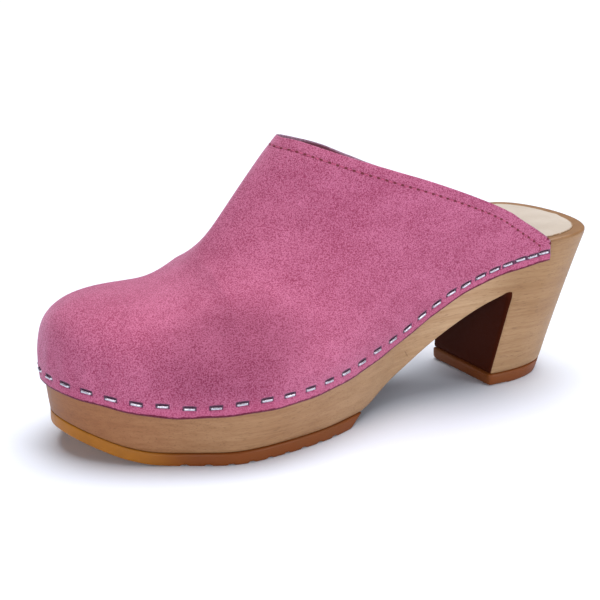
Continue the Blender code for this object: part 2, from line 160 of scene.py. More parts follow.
def sandEdges(piece, angle, rounds, rings=1, number=None):  # number: only between faces of that material
    shape = bmesh.new()
    shape.from_mesh(piece.data)
    chosen = set()
    for edge in shape.edges:
        if len(edge.link_faces) != 2 or edge.calc_face_angle() < math.radians(angle):
            continue
        if number is None or all(face.material_index == number for face in edge.link_faces):
            chosen.update(edge.verts)
    for _ in range(rings):
        chosen.update([edge.other_vert(vert) for vert in list(chosen) for edge in vert.link_edges])
    chosen = sorted(chosen, key=lambda vert: vert.index)
    for _ in range(rounds):
        bmesh.ops.smooth_vert(shape, verts=chosen, factor=0.5, use_axis_x=True, use_axis_y=True,
                              use_axis_z=True)
    shape.to_mesh(piece.data)
    shape.free()
    piece.data.shade_smooth()


# Material helpers
class Finish:
    def __init__(self, name, **sockets):
        self.material = bpy.data.materials.new(name)
        self.material.use_nodes = True
        self.nodes = self.material.node_tree.nodes
        self.links = self.material.node_tree.links
        self.shader = self.nodes["Principled BSDF"]
        for socket, value in sockets.items():
            self.shader.inputs[socket.replace("_", " ")].default_value = value
        self.coords = self.nodes.new("ShaderNodeTexCoord").outputs["Object"]

    def plug(self, value, socket):
        if isinstance(value, bpy.types.NodeSocket):
            self.links.new(value, socket)
        else:
            socket.default_value = value

    def stretch(self, scale, turn=(0.0, 0.0, 0.0)):
        node = self.nodes.new("ShaderNodeMapping")
        node.inputs["Scale"].default_value = scale
        node.inputs["Rotation"].default_value = turn
        self.links.new(self.coords, node.inputs["Vector"])
        return node.outputs["Vector"]

    def noise(self, scale, detail=4.0, rough=0.55, vector=None, distort=0.0):
        node = self.nodes.new("ShaderNodeTexNoise")
        self.links.new(vector or self.coords, node.inputs["Vector"])
        node.inputs["Scale"].default_value = scale
        node.inputs["Detail"].default_value = detail
        node.inputs["Roughness"].default_value = rough
        node.inputs["Distortion"].default_value = distort
        return node.outputs["Fac"]

    def spread(self, value, low, high, start=0.0, end=1.0):
        node = self.nodes.new("ShaderNodeMapRange")
        node.interpolation_type = "SMOOTHSTEP"
        self.plug(value, node.inputs["Value"])
        for socket, number in zip(("From Min", "From Max", "To Min", "To Max"), (low, high, start, end)):
            node.inputs[socket].default_value = number
        return node.outputs["Result"]

    def maths(self, kind, first, second=0.0):
        node = self.nodes.new("ShaderNodeMath")
        node.operation = kind
        self.plug(first, node.inputs[0])
        self.plug(second, node.inputs[1])
        return node.outputs["Value"]

    def weigh(self, *parts):  # values with their weights, added up
        products = [self.maths("MULTIPLY", value, weight) for value, weight in parts]
        total = products[0]
        for product in products[1:]:
            total = self.maths("ADD", total, product)
        return total

    def mix(self, share, first, second, kind="MIX"):
        node = self.nodes.new("ShaderNodeMix")
        node.data_type = "RGBA"
        node.blend_type = kind
        self.plug(share, node.inputs["Factor"])
        colours = [socket for socket in node.inputs if socket.type == "RGBA"]
        for value, socket in zip((first, second), colours):
            self.plug((*value, 1.0) if isinstance(value, tuple) else value, socket)
        return [socket for socket in node.outputs if socket.type == "RGBA"][0]

    def split(self, name=None):  # x, y, z of the place, or the channels of a painted layer
        if name is None:
            node = self.nodes.new("ShaderNodeSeparateXYZ")
            self.links.new(self.coords, node.inputs["Vector"])
            return node.outputs
        layer = self.nodes.new("ShaderNodeAttribute")
        layer.attribute_name = name
        node = self.nodes.new("ShaderNodeSeparateColor")
        self.links.new(layer.outputs["Color"], node.inputs["Color"])
        channels = {channel: node.outputs[channel] for channel in ("Red", "Green", "Blue")}
        return {**channels, "Alpha": layer.outputs["Alpha"]}

    def stroke(self, start, end, half, deep=12.0):  # a soft mark between two places, in mm of the frame
        middle = [(a + b) / 2.0 * mm for a, b in zip(start, end)]
        reach = math.hypot(end[0] - start[0], end[2] - start[2]) / 2.0
        node = self.nodes.new("ShaderNodeMapping")
        node.vector_type = "TEXTURE"
        node.inputs["Location"].default_value = middle
        node.inputs["Rotation"].default_value = (0.0, math.atan2(start[2] - end[2], end[0] - start[0]), 0.0)
        node.inputs["Scale"].default_value = (reach * mm, deep * mm, half * mm)
        self.links.new(self.coords, node.inputs["Vector"])
        away = self.nodes.new("ShaderNodeVectorMath")
        away.operation = "LENGTH"
        self.links.new(node.outputs["Vector"], away.inputs[0])
        return self.spread(away.outputs["Value"], 0.35, 1.0, 1.0, 0.0)

    def bump(self, height, distance, strength):
        node = self.nodes.new("ShaderNodeBump")
        node.inputs["Strength"].default_value = strength
        node.inputs["Distance"].default_value = distance
        self.links.new(height, node.inputs["Height"])
        self.links.new(node.outputs["Normal"], self.shader.inputs["Normal"])

    def paint(self, socket, value):
        self.links.new(value, self.shader.inputs[socket])


def twoToneFinish(name, first, second, rough, grain, relief, most=1.0):  # plain fibres in two colours
    finish = Finish(name, Roughness=rough)
    fibre = finish.noise(*grain)
    finish.paint("Base Color", finish.mix(finish.spread(fibre, 0.35, 0.7, 0.0, most), first, second))
    finish.bump(fibre, *relief)
    return finish.material


# The last. Shapes are worked out in mm: x from the back of the heel to the toe, y to the outer side, z up
last = {
    "length": 242.5,
    "originX": 122.95,
    "originY": 2.21,
    "heelRound": 0.13,
    "heelPower": 2.27,
    "toeRound": 0.70,
    "toePower": 2.17,
    # Rows of station and mm, the swing being to the outer side
    "halfWidth": ((0.12, 32.4), (0.40, 27.6), (0.68, 47.5), (0.86, 44.2)),
    "swing": ((0.0, 0.0), (0.12, 0.0), (0.40, 0.2), (0.68, 2.3), (0.86, 0.6), (0.95, -1.2)),
    "rimHeight": (
        (0.0, 64.0), (0.06, 65.6), (0.13, 65.2), (0.20, 62.2), (0.27, 56.9), (0.34, 50.1), (0.42, 41.2),
        (0.50, 36.2), (0.60, 32.4), (0.72, 31.5), (0.86, 30.8), (0.94, 33.8), (1.0, 37.2),
    ),
    "rearCorner": 0.137,  # station where the leather ends
}

rimHalf = smoothThrough(last["halfWidth"])
rimCentre = smoothThrough(last["swing"])
rimHeight = smoothThrough(last["rimHeight"])


def roundness(station, heelRound, power, root):  # share of the width left by the rounded ends
    toe = np.clip((station - last["toeRound"]) / (1.0 - last["toeRound"]), 0.0, 1.0)
    heel = np.clip((heelRound - station) / heelRound, 0.0, 1.0)
    toeEnd = np.sqrt(np.clip(1.0 - toe ** last["toePower"], 0.0, 1.0))
    return toeEnd * np.clip(1.0 - heel ** power, 0.0, 1.0) ** root


# A turn runs from 0 at the back of the heel to pi at the toe, negative on the inner side
def stationOf(turn):
    return (1.0 - np.cos(turn)) / 2.0


def turnAt(station):
    return math.acos(1.0 - 2.0 * station)


def sideOf(turn):
    return np.where(np.sin(turn) < 0.0, -1.0, 1.0)


def rimAt(turn):
    s = stationOf(turn)
    half = rimHalf(s) * roundness(s, last["heelRound"], last["heelPower"], 0.5)
    return np.stack([s * last["length"], rimCentre(s) + sideOf(turn) * half, rimHeight(s)], -1)


def outwardAt(turn):
    along = rimAt(turn + 0.002)[..., :2] - rimAt(turn - 0.002)[..., :2]
    square = np.stack([-along[..., 1], along[..., 0]], -1)
    return square / np.linalg.norm(square, axis=-1, keepdims=True)


def rimMoved(turn, distance):
    moved = rimAt(turn)
    moved[..., :2] += outwardAt(turn) * distance
    return moved


print("last ready")

# Wood sole with its block heel
wood = {
    "underside": (  # x, height
        (47.0, 43.2), (60.0, 38.1), (74.0, 30.8), (87.0, 23.3), (101.0, 13.9), (112.0, 7.9), (118.0, 5.6),
        (123.5, 4.8), (205.0, 4.8), (213.0, 5.3), (222.0, 7.1), (231.0, 10.5), (240.5, 14.8),
    ),
    "lowHalfWidth": (  # station, mm
        (0.0, 21.1), (0.18, 21.1), (0.28, 19.0), (0.40, 18.5), (0.52, 32.0), (0.60, 39.4), (0.68, 43.3),
        (0.76, 45.5), (0.86, 41.2), (0.95, 41.0),
    ),
    "lowCentre": (  # station, mm
        (0.0, 0.0), (0.18, 0.0), (0.28, 0.0), (0.40, 0.6), (0.52, 1.6), (0.60, 2.1), (0.68, 2.3), (0.76, 1.6),
        (0.86, 0.4), (0.95, -1.0),
    ),
    "toeUndercut": 2.0,
    "toeUndercutStart": 0.72,
    "heelSeat": 5.1,
    "heelRake": 17.6,
    "heelEndRound": 0.17,
    "heelEndPower": 2.23,
    "breast": 0.182,
    "breastRake": 10.0,
    "innerBreastRake": 12.0,
    "waistEnd": 0.50,
    "belly": 0.6,
    "bellyStart": 0.20,
    "hollow": 0.18,
    "hollowEnd": 0.06,
    "rimChamfer": 1.4,
    "dish": 2.4,
    "heelSteps": 44,
    "frontSteps": 210,
    "acrossSteps": 44,
    "sideSteps": 20,
    "heelSideSteps": 26,
    "softAngle": 24.0,  # edges sharper than this are sanded round
    "softRounds": 5,
    "breastRounds": 16,  # more where the waist runs into the heel
    "breastRings": 3,
    "light": (0.51, 0.33, 0.185),
    "dark": (0.37, 0.205, 0.092),
    "fleck": (0.22, 0.11, 0.05),
    "foreTint": (0.70, 0.59, 0.49),
    "toeTint": (0.92, 0.67, 0.48),
    "heelTint": (0.70, 0.62, 0.50),
    "rimTint": (0.84, 0.77, 0.70),
    # painted shade: the underside and the heel's breast are painted near black-red for the shade under the
    # arch
    "paintedShadeColour": (0.052, 0.008, 0.003),
    "markColour": (0.17, 0.08, 0.035),
    "marks": (  # start, end, half width: a fine crack on the waist and scratches on the heel
        ((-23.0, 23.2, 26.0), (-27.4, 20.8, 20.4), 0.24),
        ((-79.3, 20.3, 14.3), (-85.0, 19.8, 14.0), 0.26),
        ((-80.6, 19.6, 11.2), (-87.2, 18.8, 11.9), 0.26),
        ((-77.6, 20.4, 12.6), (-81.0, 20.0, 12.8), 0.2),
    ),
}

underHeight = steadyThrough(wood["underside"])
lowHalf = steadyThrough(wood["lowHalfWidth"])
lowCentre = steadyThrough(wood["lowCentre"])


def lowerEdge(turn):
    s = stationOf(turn)
    front = np.where(sideOf(turn) < 0.0, wood["innerBreastRake"], wood["breastRake"])
    rake = wood["heelRake"] + (front - wood["heelRake"]) * np.clip(s / wood["breast"], 0.0, 1.0)
    undercut = wood["toeUndercut"] * blend(wood["toeUndercutStart"], 1.0, s)
    x = s * last["length"] + rake * (1.0 - blend(wood["breast"], wood["waistEnd"], s)) - undercut
    power = wood["heelEndPower"]
    width = lowHalf(s) * roundness(s, wood["heelEndRound"], power, 1.0 / power)
    z = np.where(s < wood["waistEnd"], wood["heelSeat"], underHeight(x))
    return np.stack([x, lowCentre(s) + sideOf(turn) * width, z], -1)


def sideAt(turn, share):  # on the side of the wood, from the rim (0) to the lower edge (1)
    top = rimAt(turn)
    low = lowerEdge(turn)
    share = np.asarray(share, float) + np.zeros(np.shape(turn))
    s = stationOf(turn)
    belly = wood["belly"] * blend(wood["bellyStart"], wood["waistEnd"], s)
    hollow = wood["hollow"] * (1.0 - blend(0.0, wood["hollowEnd"], s))
    inward = share ** (1.0 + belly - hollow)
    plan = top[..., :2] + (low[..., :2] - top[..., :2]) * inward[..., None]
    height = top[..., 2] + (low[..., 2] - top[..., 2]) * share
    return np.concatenate([plan, height[..., None]], -1)


def shareBelowRim(turn, drop):
    return drop / (rimAt(turn)[..., 2] - lowerEdge(turn)[..., 2])


def shareAtWaist(turn):  # where the side meets the arched underside
    low = np.zeros(np.shape(turn))
    high = np.ones(np.shape(turn))
    for _ in range(30):
        middle = (low + high) / 2.0
        point = sideAt(turn, middle)
        above = point[..., 2] > underHeight(point[..., 0])
        low = np.where(above, middle, low)
        high = np.where(above, high, middle)
    return np.where(stationOf(turn) >= wood["waistEnd"], 1.0, high)


def footbedAt(point):
    s = np.clip(point[..., 0] / last["length"], 0.0, 1.0)
    full = roundness(s, last["heelRound"], last["heelPower"], 0.5)
    half = np.maximum(rimHalf(s) * full, 0.5)
    off = np.clip((point[..., 1] - rimCentre(s)) / half, -1.0, 1.0)
    return rimHeight(s) - wood["dish"] * full ** 2 * (1.0 - off ** 2)


def woodFinish(name, kind):
    shade = kind == "under"
    finish = Finish(name, Roughness=0.55, Coat_Weight=0.0 if shade else 0.08, Coat_Roughness=0.35,
                    Specular_IOR_Level=0.03 if shade else 0.4)
    fibre = finish.noise(70.0, 5.0, 0.6, finish.stretch((0.45, 5.0, 13.0), (0.0, 0.02, 0.0)))
    layer = finish.noise(30.0, 3.0, 0.55, finish.stretch((0.22, 0.7, 9.0), (0.03, 0.015, 0.0)), 0.25)
    cloud = finish.noise(32.0, 3.0, 0.5)
    pore = finish.noise(330.0, 2.0, 0.5, finish.stretch((0.8, 7.0, 8.0)))
    tone = finish.weigh((fibre, 0.5), (layer, 0.3), (cloud, 0.2))
    colour = finish.mix(finish.spread(tone, 0.31, 0.66), wood["dark"], wood["light"])
    colour = finish.mix(finish.spread(pore, 0.54, 0.70, 0.0, 0.42), colour, wood["fleck"])
    place = finish.split()
    fore = finish.spread(place["X"], -0.06, 0.05)
    toe = finish.spread(place["X"], 0.06, 0.118)
    heel = finish.maths("MULTIPLY", finish.spread(place["X"], -0.050, -0.080),
                        finish.spread(place["Z"], 0.0, 0.050, 0.65, 1.0))
    for share, tint in ((fore, "foreTint"), (toe, "toeTint"), (heel, "heelTint")):
        colour = finish.mix(share, colour, wood[tint], "MULTIPLY")
    if kind == "side":
        for start, end, half in wood["marks"]:
            scratch = finish.maths("MULTIPLY", finish.stroke(start, end, half), 0.7)
            colour = finish.mix(scratch, colour, wood["markColour"])
    if kind == "rim":
        colour = finish.mix(1.0, colour, wood["rimTint"], "MULTIPLY")
    # painted shade: the underside and the breast take this near black-red colour
    if shade:
        colour = finish.mix(0.99, colour, wood["paintedShadeColour"])
    finish.paint("Base Color", colour)
    finish.paint("Roughness", finish.spread(fibre, 0.3, 0.7, 0.48, 0.62))
    finish.bump(finish.maths("ADD", fibre, pore), 0.0001, 0.5)
    return finish.material


def makeWood():
    heelTurns = np.linspace(0.0, turnAt(wood["breast"]), wood["heelSteps"] + 1)
    frontTurns = np.linspace(turnAt(wood["breast"]), math.pi, wood["frontSteps"] + 1)
    allTurns = np.concatenate([heelTurns, frontTurns[1:]])
    waistTop = float(shareAtWaist(np.array([turnAt(wood["breast"]) + 1e-5]))[0])
    grids = []
    for side in bothSides:
        for turns, heel in ((heelTurns, True), (frontTurns, False)):
            turn = turns * side
            edge = shareBelowRim(turn, wood["rimChamfer"])
            foot = np.full(len(turn), waistTop) if heel else shareAtWaist(turn)
            if not heel:
                foot[0] = waistTop
            shares = [edge + (foot - edge) * k / wood["sideSteps"] for k in range(wood["sideSteps"] + 1)]
            if heel:
                steps = wood["heelSideSteps"]
                shares += [foot + (1.0 - foot) * k / steps for k in range(1, steps + 1)]
            grids.append((np.array([sideAt(turn, share) for share in shares]), 0))
        turn = allTurns * side
        crest = rimMoved(turn, -wood["rimChamfer"])
        crest[:, 2] = footbedAt(crest)
        brow = sideAt(turn, shareBelowRim(turn, wood["rimChamfer"]))
        corner = (brow + crest) * 0.1 + rimAt(turn) * 0.8  # the rim's edge, eased
        grids.append((np.array([brow, corner, crest]), 2))
    steps = wood["acrossSteps"]  # footbed, foot of the heel, underside and breast
    top = across(rimMoved(allTurns, -wood["rimChamfer"]), rimMoved(-allTurns, -wood["rimChamfer"]), steps)
    top[..., 2] = footbedAt(top)
    grids.append((top, 2))
    grids.append((across(lowerEdge(heelTurns), lowerEdge(-heelTurns), steps), 0))
    feet = []
    for turn in (frontTurns, -frontTurns):
        foot = shareAtWaist(turn)
        foot[0] = waistTop
        feet.append(sideAt(turn, foot))
    grids.append((across(feet[0], feet[1], steps), 1))
    drops = waistTop + (1.0 - waistTop) * np.arange(wood["heelSideSteps"] + 1) / wood["heelSideSteps"]
    front = np.full(len(drops), turnAt(wood["breast"]))
    grids.append((across(sideAt(front, drops), sideAt(-front, drops), steps), 1))
    kinds = (("paleWood", "side"), ("shadedWood", "under"), ("rimWood", "rim"))
    piece = makePiece("woodBody", grids, [woodFinish(name, kind) for name, kind in kinds])
    sandEdges(piece, wood["softAngle"], wood["breastRounds"], wood["breastRings"], 1)
    sandEdges(piece, wood["softAngle"], wood["softRounds"])
    return piece


woodBody = makeWood()
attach(woodBody, "root")
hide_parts("wood_sole")
print("wood sole", len(woodBody.data.polygons))

# Sock on the footbed
sock = {
    "inset": 4.8,
    "rearInset": 1.2,
    "rearFade": (0.02, 0.12),  # stations
    "thickness": 1.3,
    "edgeThickness": 0.5,  # thinned towards its edge
    "thinned": 9.0,
    "seat": 0.05,
    "edgeRound": 0.5,
    "turns": 190,
    "acrossSteps": 48,
    "cream": (0.56, 0.485, 0.415),
    "creamDark": (0.49, 0.415, 0.345),
    "grain": (0.45, 0.36, 0.26),
    # painted shade: the sock's side is painted dark tan for its edge in shade
    "edge": (0.27, 0.155, 0.075),
}


def sockFinish():
    finish = Finish("creamSock", Roughness=0.62)
    grain = finish.noise(900.0, 3.0, 0.6)
    cloud = finish.noise(38.0, 4.0, 0.6)
    colour = finish.mix(finish.spread(cloud, 0.35, 0.7), sock["cream"], sock["creamDark"])
    colour = finish.mix(finish.spread(grain, 0.5, 0.75, 0.0, 0.25), colour, sock["grain"])
    finish.paint("Base Color", colour)
    finish.bump(grain, 0.0002, 0.5)
    return finish.material


def makeSock():
    turns = np.linspace(0.0, math.pi, sock["turns"] + 1)
    profile = [(0.0, 0.0), (0.0, 0.6), (0.3, 0.9), (1.0, 1.0)]  # shares of the rounding in and of the height
    rows = []
    for inward, upward in profile:
        inset = sock["inset"] + sock["edgeRound"] * inward
        inset = inset + sock["rearInset"] * (1.0 - blend(*sock["rearFade"], stationOf(turns)))
        pair = []
        for side in bothSides:
            row = rimAt(turns * side)
            row[:, :2] -= outwardAt(turns * side) * inset[:, None]
            row[:, 2] = footbedAt(row) + sock["seat"] + sock["edgeThickness"] * upward
            pair.append(row)
        rows.append(pair)
    grids = [(np.array([pair[k] for pair in rows]), 1) for k in (0, 1)]
    for pair, top in ((rows[0], False), (rows[-1], True)):
        sheet = across(pair[0], pair[1], sock["acrossSteps"])
        run = lengthsAlong(sheet.swapaxes(0, 1)).T
        inside = np.minimum(run, run[:, -1:] - run)
        full = sock["thickness"] - sock["edgeThickness"]
        lift = sock["edgeThickness"] + full * blend(0.0, sock["thinned"], inside) if top else 0.0
        sheet[..., 2] = footbedAt(sheet) + sock["seat"] + lift
        grids.append((sheet, 0))
    # the sock's side, painted dark as shade
    edge = twoToneFinish("sockEdgePaintedShade", sock["edge"], sock["creamDark"], 0.8, (900.0, 3.0, 0.6), (0.0002, 0.5))
    return makePiece("footbedSock", grids, [sockFinish(), edge])


footbedSock = makeSock()
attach(footbedSock, "root")
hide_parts("insole")
print("sock", len(footbedSock.data.polygons))

# Rubber under the forefoot and the heel
rubber = {
    "start": 124.0,
    "rake": 6.0,
    "rakeEnd": 136.0,
    "thickness": 4.5,
    "back": 0.45,
    "grooveFirst": 138.0,
    "groovePitch": 8.0,
    "grooveCount": 9,
    "grooveWidth": 2.6,
    "grooveFlank": (0.32, 0.62),  # shares of its width, from its middle
    "grooveDepth": 1.4,
    "edgeRound": 0.7,
    "edgeLift": 0.4,  # share of a groove's depth left at the side
    "edgeBand": 0.08,  # share of the width where it fades
    "step": 0.6,
    "toeStation": 0.9,
    "toeSteps": 70,
    "acrossSteps": 36,
    "glue": 0.55,  # closes the play under the wood
    "tipHeight": 4.8,
    "tipUndercut": 2.4,
    "tipBevel": 0.7,
    "tipMiddle": (30.0, 0.0),
    "tipHalf": 20.0,
    "tipTurns": 60,
    "tipAcross": 24,
    "softAngle": 40.0,
    "softRounds": 3,
    "amber": (0.41, 0.148, 0.009),
    "amberFrom": (0.080, 0.108),  # where the brown turns to amber, m
    "brown": (0.20, 0.049, 0.005),
    "stain": (0.16, 0.06, 0.015),
    "tip": (0.20, 0.050, 0.006),
}


def gumFinish(name, front, back):
    finish = Finish(name, Roughness=0.5, Coat_Weight=0.05, Coat_Roughness=0.4, Specular_IOR_Level=0.25)
    place = finish.split()
    cloud = finish.noise(60.0, 4.0, 0.6)
    fine = finish.noise(1400.0, 3.0, 0.6)
    reach = finish.maths("ADD", place["X"], finish.maths("MULTIPLY", cloud, 0.012))
    colour = finish.mix(finish.spread(reach, *rubber["amberFrom"]), back, front)
    colour = finish.mix(finish.spread(cloud, 0.4, 0.75, 0.0, 0.45), colour, rubber["stain"])
    finish.paint("Base Color", colour)
    finish.paint("Roughness", finish.spread(cloud, 0.3, 0.7, 0.42, 0.6))
    finish.bump(fine, 0.00015, 0.4)
    return finish.material


def treadEdge(x, side):
    turns = np.linspace(turnAt(rubber["back"]), math.pi, fineSteps)
    edge = lowerEdge(turns * side)
    return np.interp(x, edge[:, 0], edge[:, 1])


def makeTread():
    toe = lowerEdge(np.linspace(turnAt(rubber["toeStation"]), math.pi, rubber["toeSteps"]))[:, 0]
    along = np.concatenate([np.arange(rubber["start"], toe[0], rubber["step"]), toe])
    groove = np.zeros(len(along))
    for k in range(rubber["grooveCount"]):
        middle = rubber["grooveFirst"] + rubber["groovePitch"] * k + rubber["grooveWidth"] / 2.0
        off = np.abs(along - middle) / rubber["grooveWidth"]
        groove = np.maximum(groove, 1.0 - blend(*rubber["grooveFlank"], off))
    lift = groove * rubber["grooveDepth"]
    edgeLift = lift * rubber["edgeLift"]
    thickness = rubber["thickness"]
    raked = rubber["rake"] * (1.0 - blend(rubber["start"], rubber["rakeEnd"], along))
    profile = [(0.0, 1.0), (0.0, 0.8), (0.0, 0.6), (0.0, 0.4), (0.0, 0.22), (0.12, 0.1), (0.4, 0.03),
               (1.0, 0.0)]  # shares of the rounding in and of the height
    sides = []
    for side in bothSides:
        rows = []
        for inward, upward in profile:
            height = edgeLift + (thickness + rubber["glue"] - edgeLift) * upward
            x = along + raked * (1.0 - height / thickness)
            half = treadEdge(x, side) - lowCentre(x / last["length"])
            keep = 1.0 - inward * rubber["edgeRound"] / np.maximum(np.abs(half), 2.0)
            y = lowCentre(x / last["length"]) + half * keep
            rows.append(np.stack([x, y, underHeight(x) - gap - thickness + height], -1))
        sides.append(np.array(rows))
    near, far = sides
    steps = rubber["acrossSteps"]
    top = across(near[0], far[0], steps)
    low = across(near[-1], far[-1], steps)
    inside = np.linspace(0.0, 1.0, steps + 1)
    inside = blend(0.0, rubber["edgeBand"], inside) * blend(0.0, rubber["edgeBand"], 1.0 - inside)
    low[..., 2] += (lift - edgeLift)[:, None] * inside[None, :]
    back = across(near[:, 0], far[:, 0], steps)
    grids = [(grid, 0) for grid in (near, far, top, low, back)]
    return makePiece("gumTread", grids, [gumFinish("amberGum", rubber["amber"], rubber["brown"])])


def makeLift():
    turns = np.linspace(0.0, turnAt(wood["breast"]), rubber["tipTurns"])
    profile = [(0.15, 1.0), (0.0, 0.94), (0.0, 0.7), (0.0, 0.45), (0.05, 0.22), (0.35, 0.06), (1.0, 0.0)]
    middle = np.array(rubber["tipMiddle"])
    sides = []
    for side in bothSides:
        rows = []
        for inward, upward in profile:
            row = lowerEdge(turns * side)
            keep = 1.0 - inward * rubber["tipBevel"] / rubber["tipHalf"]
            row[:, :2] = middle + (row[:, :2] - middle) * keep
            row[:, 0] += rubber["tipUndercut"] * (1.0 - upward) * (1.0 - stationOf(turns) / wood["breast"])
            row[:, 2] = (rubber["tipHeight"] + rubber["glue"]) * upward
            rows.append(row)
        sides.append(np.array(rows))
    near, far = sides
    steps = rubber["tipAcross"]
    top = across(near[0], far[0], steps)
    low = across(near[-1], far[-1], steps)
    front = across(near[:, -1], far[:, -1], steps)
    grids = [(grid, 0) for grid in (near, far, top, low, front)]
    piece = makePiece("heelLift", grids, [gumFinish("brownRubber", rubber["tip"], rubber["tip"])])
    sandEdges(piece, rubber["softAngle"], rubber["softRounds"])
    return piece


gumTread = makeTread()
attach(gumTread, "root")
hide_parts("outsole")
heelLift = makeLift()
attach(heelLift, "root")
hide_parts("heel_tip")
print("rubber", len(gumTread.data.polygons), len(heelLift.data.polygons))

# Suede upper: ribs rise from the rim to the spine of the vamp
upper = {
    "wall": 1.6,
    "lap": 9.3,
    "peakX": 141.0,
    "spineY": -4.7,
    "fanX": 195.7,
    "fanStart": 0.914,
    "spine": ((141.0, 113.5), (163.3, 87.8), (183.6, 65.9), (206.0, 60.8), (228.3, 61.9), (247.6, 61.9)),
    # Share of the way to the toe and the power of the rib's curve
    "ribPlan": ((0.0, 1.30), (0.25, 1.84), (0.55, 1.56), (1.0, 2.75)),
    "ribHeight": ((0.0, 1.40), (0.25, 1.70), (0.55, 1.41), (1.0, 4.20)),
    "toeLean": 0.05,
    "toeLeanStart": 0.6,
    "innerFullness": 0.83,
    "innerFullnessEnd": 0.6,
    "collarBow": 13.0,
    "bowEnd": 0.5,
    "throatRound": 0.14,
    "throatFull": 0.3,
    "throatEnd": 0.7,
    "columns": 240,
    "lapRows": 15,
    "ribRows": 66,
    "ribSteps": 260,
    # How far the collar is cut back, by its share of the way up: at the rear, on each side, at the peak
    "rearTrim": (
        (-0.07, -1.9), (-0.032, -0.5), (-0.014, 0.4), (0.018, 1.7), (0.05, 2.4), (0.10, 2.6), (0.14, 2.2),
        (0.19, 1.0),
    ),
    "sideTrims": (
        ((0.25, 0.4), (0.32, 0.0), (0.50, -0.4), (0.62, 0.1), (0.71, 0.1), (0.79, -0.3), (0.87, -0.7),
         (0.92, -0.8), (0.955, -0.2)),
        ((0.27, 0.6), (0.43, 1.2), (0.50, 0.3), (0.55, -0.2), (0.61, -1.1), (0.68, -1.9), (0.74, -1.8),
         (0.80, -1.3), (0.87, -0.9), (0.92, -0.6), (0.955, -0.1)),
    ),
    "peakTrim": ((0.985, 0.6), (1.0, 0.7)),
    "trimFade": 45.0,
    "lapEnd": -0.2,  # shorter at the rear corner
    "lapEndFade": (14.0, 2.0),
    "seamColumns": 44,
    "edgeBulge": 0.45,
    "edgeFade": 3.0,  # columns from a corner
    "edgeWaver": 0.35,
    "waverLengths": (7.3, 3.1),
    "waverToe": 12.0,  # even here, where both sides meet
    "pucker": 0.22,  # small pleats above the staples, round the toe
    "puckerRise": 2.0,
    "puckerHalf": 6.0,
    "puckerFade": (20.0, 95.0),
    "puff": 0.2,  # fuller between the staples
    "puffReach": 3.4,
    "puffRise": -4.0,
    "puffHalf": 3.6,
    "creases": (  # x and height of both ends, side, half width, depth (a ridge is below zero)
        (176.0, 68.0, 150.0, 62.0, 1.0, 6.0, 0.55),
        (184.0, 64.0, 168.0, 50.0, 1.0, 7.0, 0.45),
        (178.0, 67.0, 152.0, 60.0, -1.0, 6.0, 0.55),
        (168.0, 78.0, 146.0, 74.0, 1.0, 7.0, -0.35),
    ),
    "calmSpine": 14.0,  # no crease this near the spine
    "light": (0.575, 0.170, 0.295),
    "deep": (0.290, 0.043, 0.102),
    "speck": (0.18, 0.024, 0.063),
    "lip": (0.50, 0.085, 0.19),
    "patches": (  # darker patches on the vamp: start, end, half height, share
        ((112.0, 40.0, 42.0), (16.0, 46.0, 50.0), 28.0, 1.0),
        ((40.0, 34.0, 78.0), (0.0, 36.0, 92.0), 16.0, 0.4),
    ),
    "patchDarkening": (0.74, 0.68, 0.72),
    # the slot round each bar: pressed leather, darkened further as painted shadow of the bar
    "slot": (0.085, 0.04, 0.075),
    # the raw cut's dark colour, also used as painted shade in the seam's groove and as painted shadow along
    # the lower edge
    "edge": (0.095, 0.006, 0.019),
    "lining": (0.16, 0.022, 0.055),
    "liningPale": (0.23, 0.04, 0.085),
    "liningGrain": (0.09, 0.012, 0.03),
    "cut": (0.40, 0.22, 0.31),
    "cutDark": (0.20, 0.10, 0.15),
}

staples = {
    "length": 4.6,
    "width": 0.92,
    "thickness": 0.7,
    "drop": 5.0,
    "low": 0.15,  # each bar lies towards the lower side of its slot
    "pitch": 10.0,
    "end": 2.2,
    "taper": 0.31,
    "rows": ((16, 11), (16, 10)),  # spaces round the forefoot and towards the heel, on each side
    "reach": 2.4,
    "dip": 0.8,  # how far the ends turn down
    "sit": 0.12,
    "slotDepth": 0.75,
    "slotHalfLength": 2.65,
    "slotHalfWidth": 1.1,
    "stray": 0.3,
    "strayTurn": 3.0,
    "seed": 11,
    "steel": (0.58, 0.56, 0.62),
    "steelDark": (0.34, 0.33, 0.38),
}

stitches = {
    "inset": 4.5,
    "pitch": 3.4,
    "ahead": 0.8,  # how far on a stitch's direction is read
    "first": 6.5,  # above the lower edge
    "tacks": (8.0, 10.6),  # two stitches on the rear end, above the lower edge
    "grooveDepth": 0.22,
    "grooveHalfWidth": 0.8,
    "collarThread": {
        "Length": 2.3, "Width": 0.36, "Thickness": 0.5, "proud": 0.1, "colour": (0.42, 0.065, 0.145),
    },
    # dark grains where the needle holes are, painted shade of the holes; the rear tacks use the same look
    "needleHoleShadeAndTacks": {
        "Length": 1.4, "Width": 0.91, "Thickness": 0.4, "proud": 0.05, "colour": (0.115, 0.006, 0.016),
    },
    "paler": 2.2,  # the light side of the twist
}

spineHeight = smoothThrough(upper["spine"])
ribPlan = smoothThrough(upper["ribPlan"])
ribHeight = smoothThrough(upper["ribHeight"])


def ribShare(turns):
    run = lengthsAlong(rimAt(turns)[:, :2]) + lengthsAlong(rimAt(-turns)[:, :2])
    return run / run[-1]


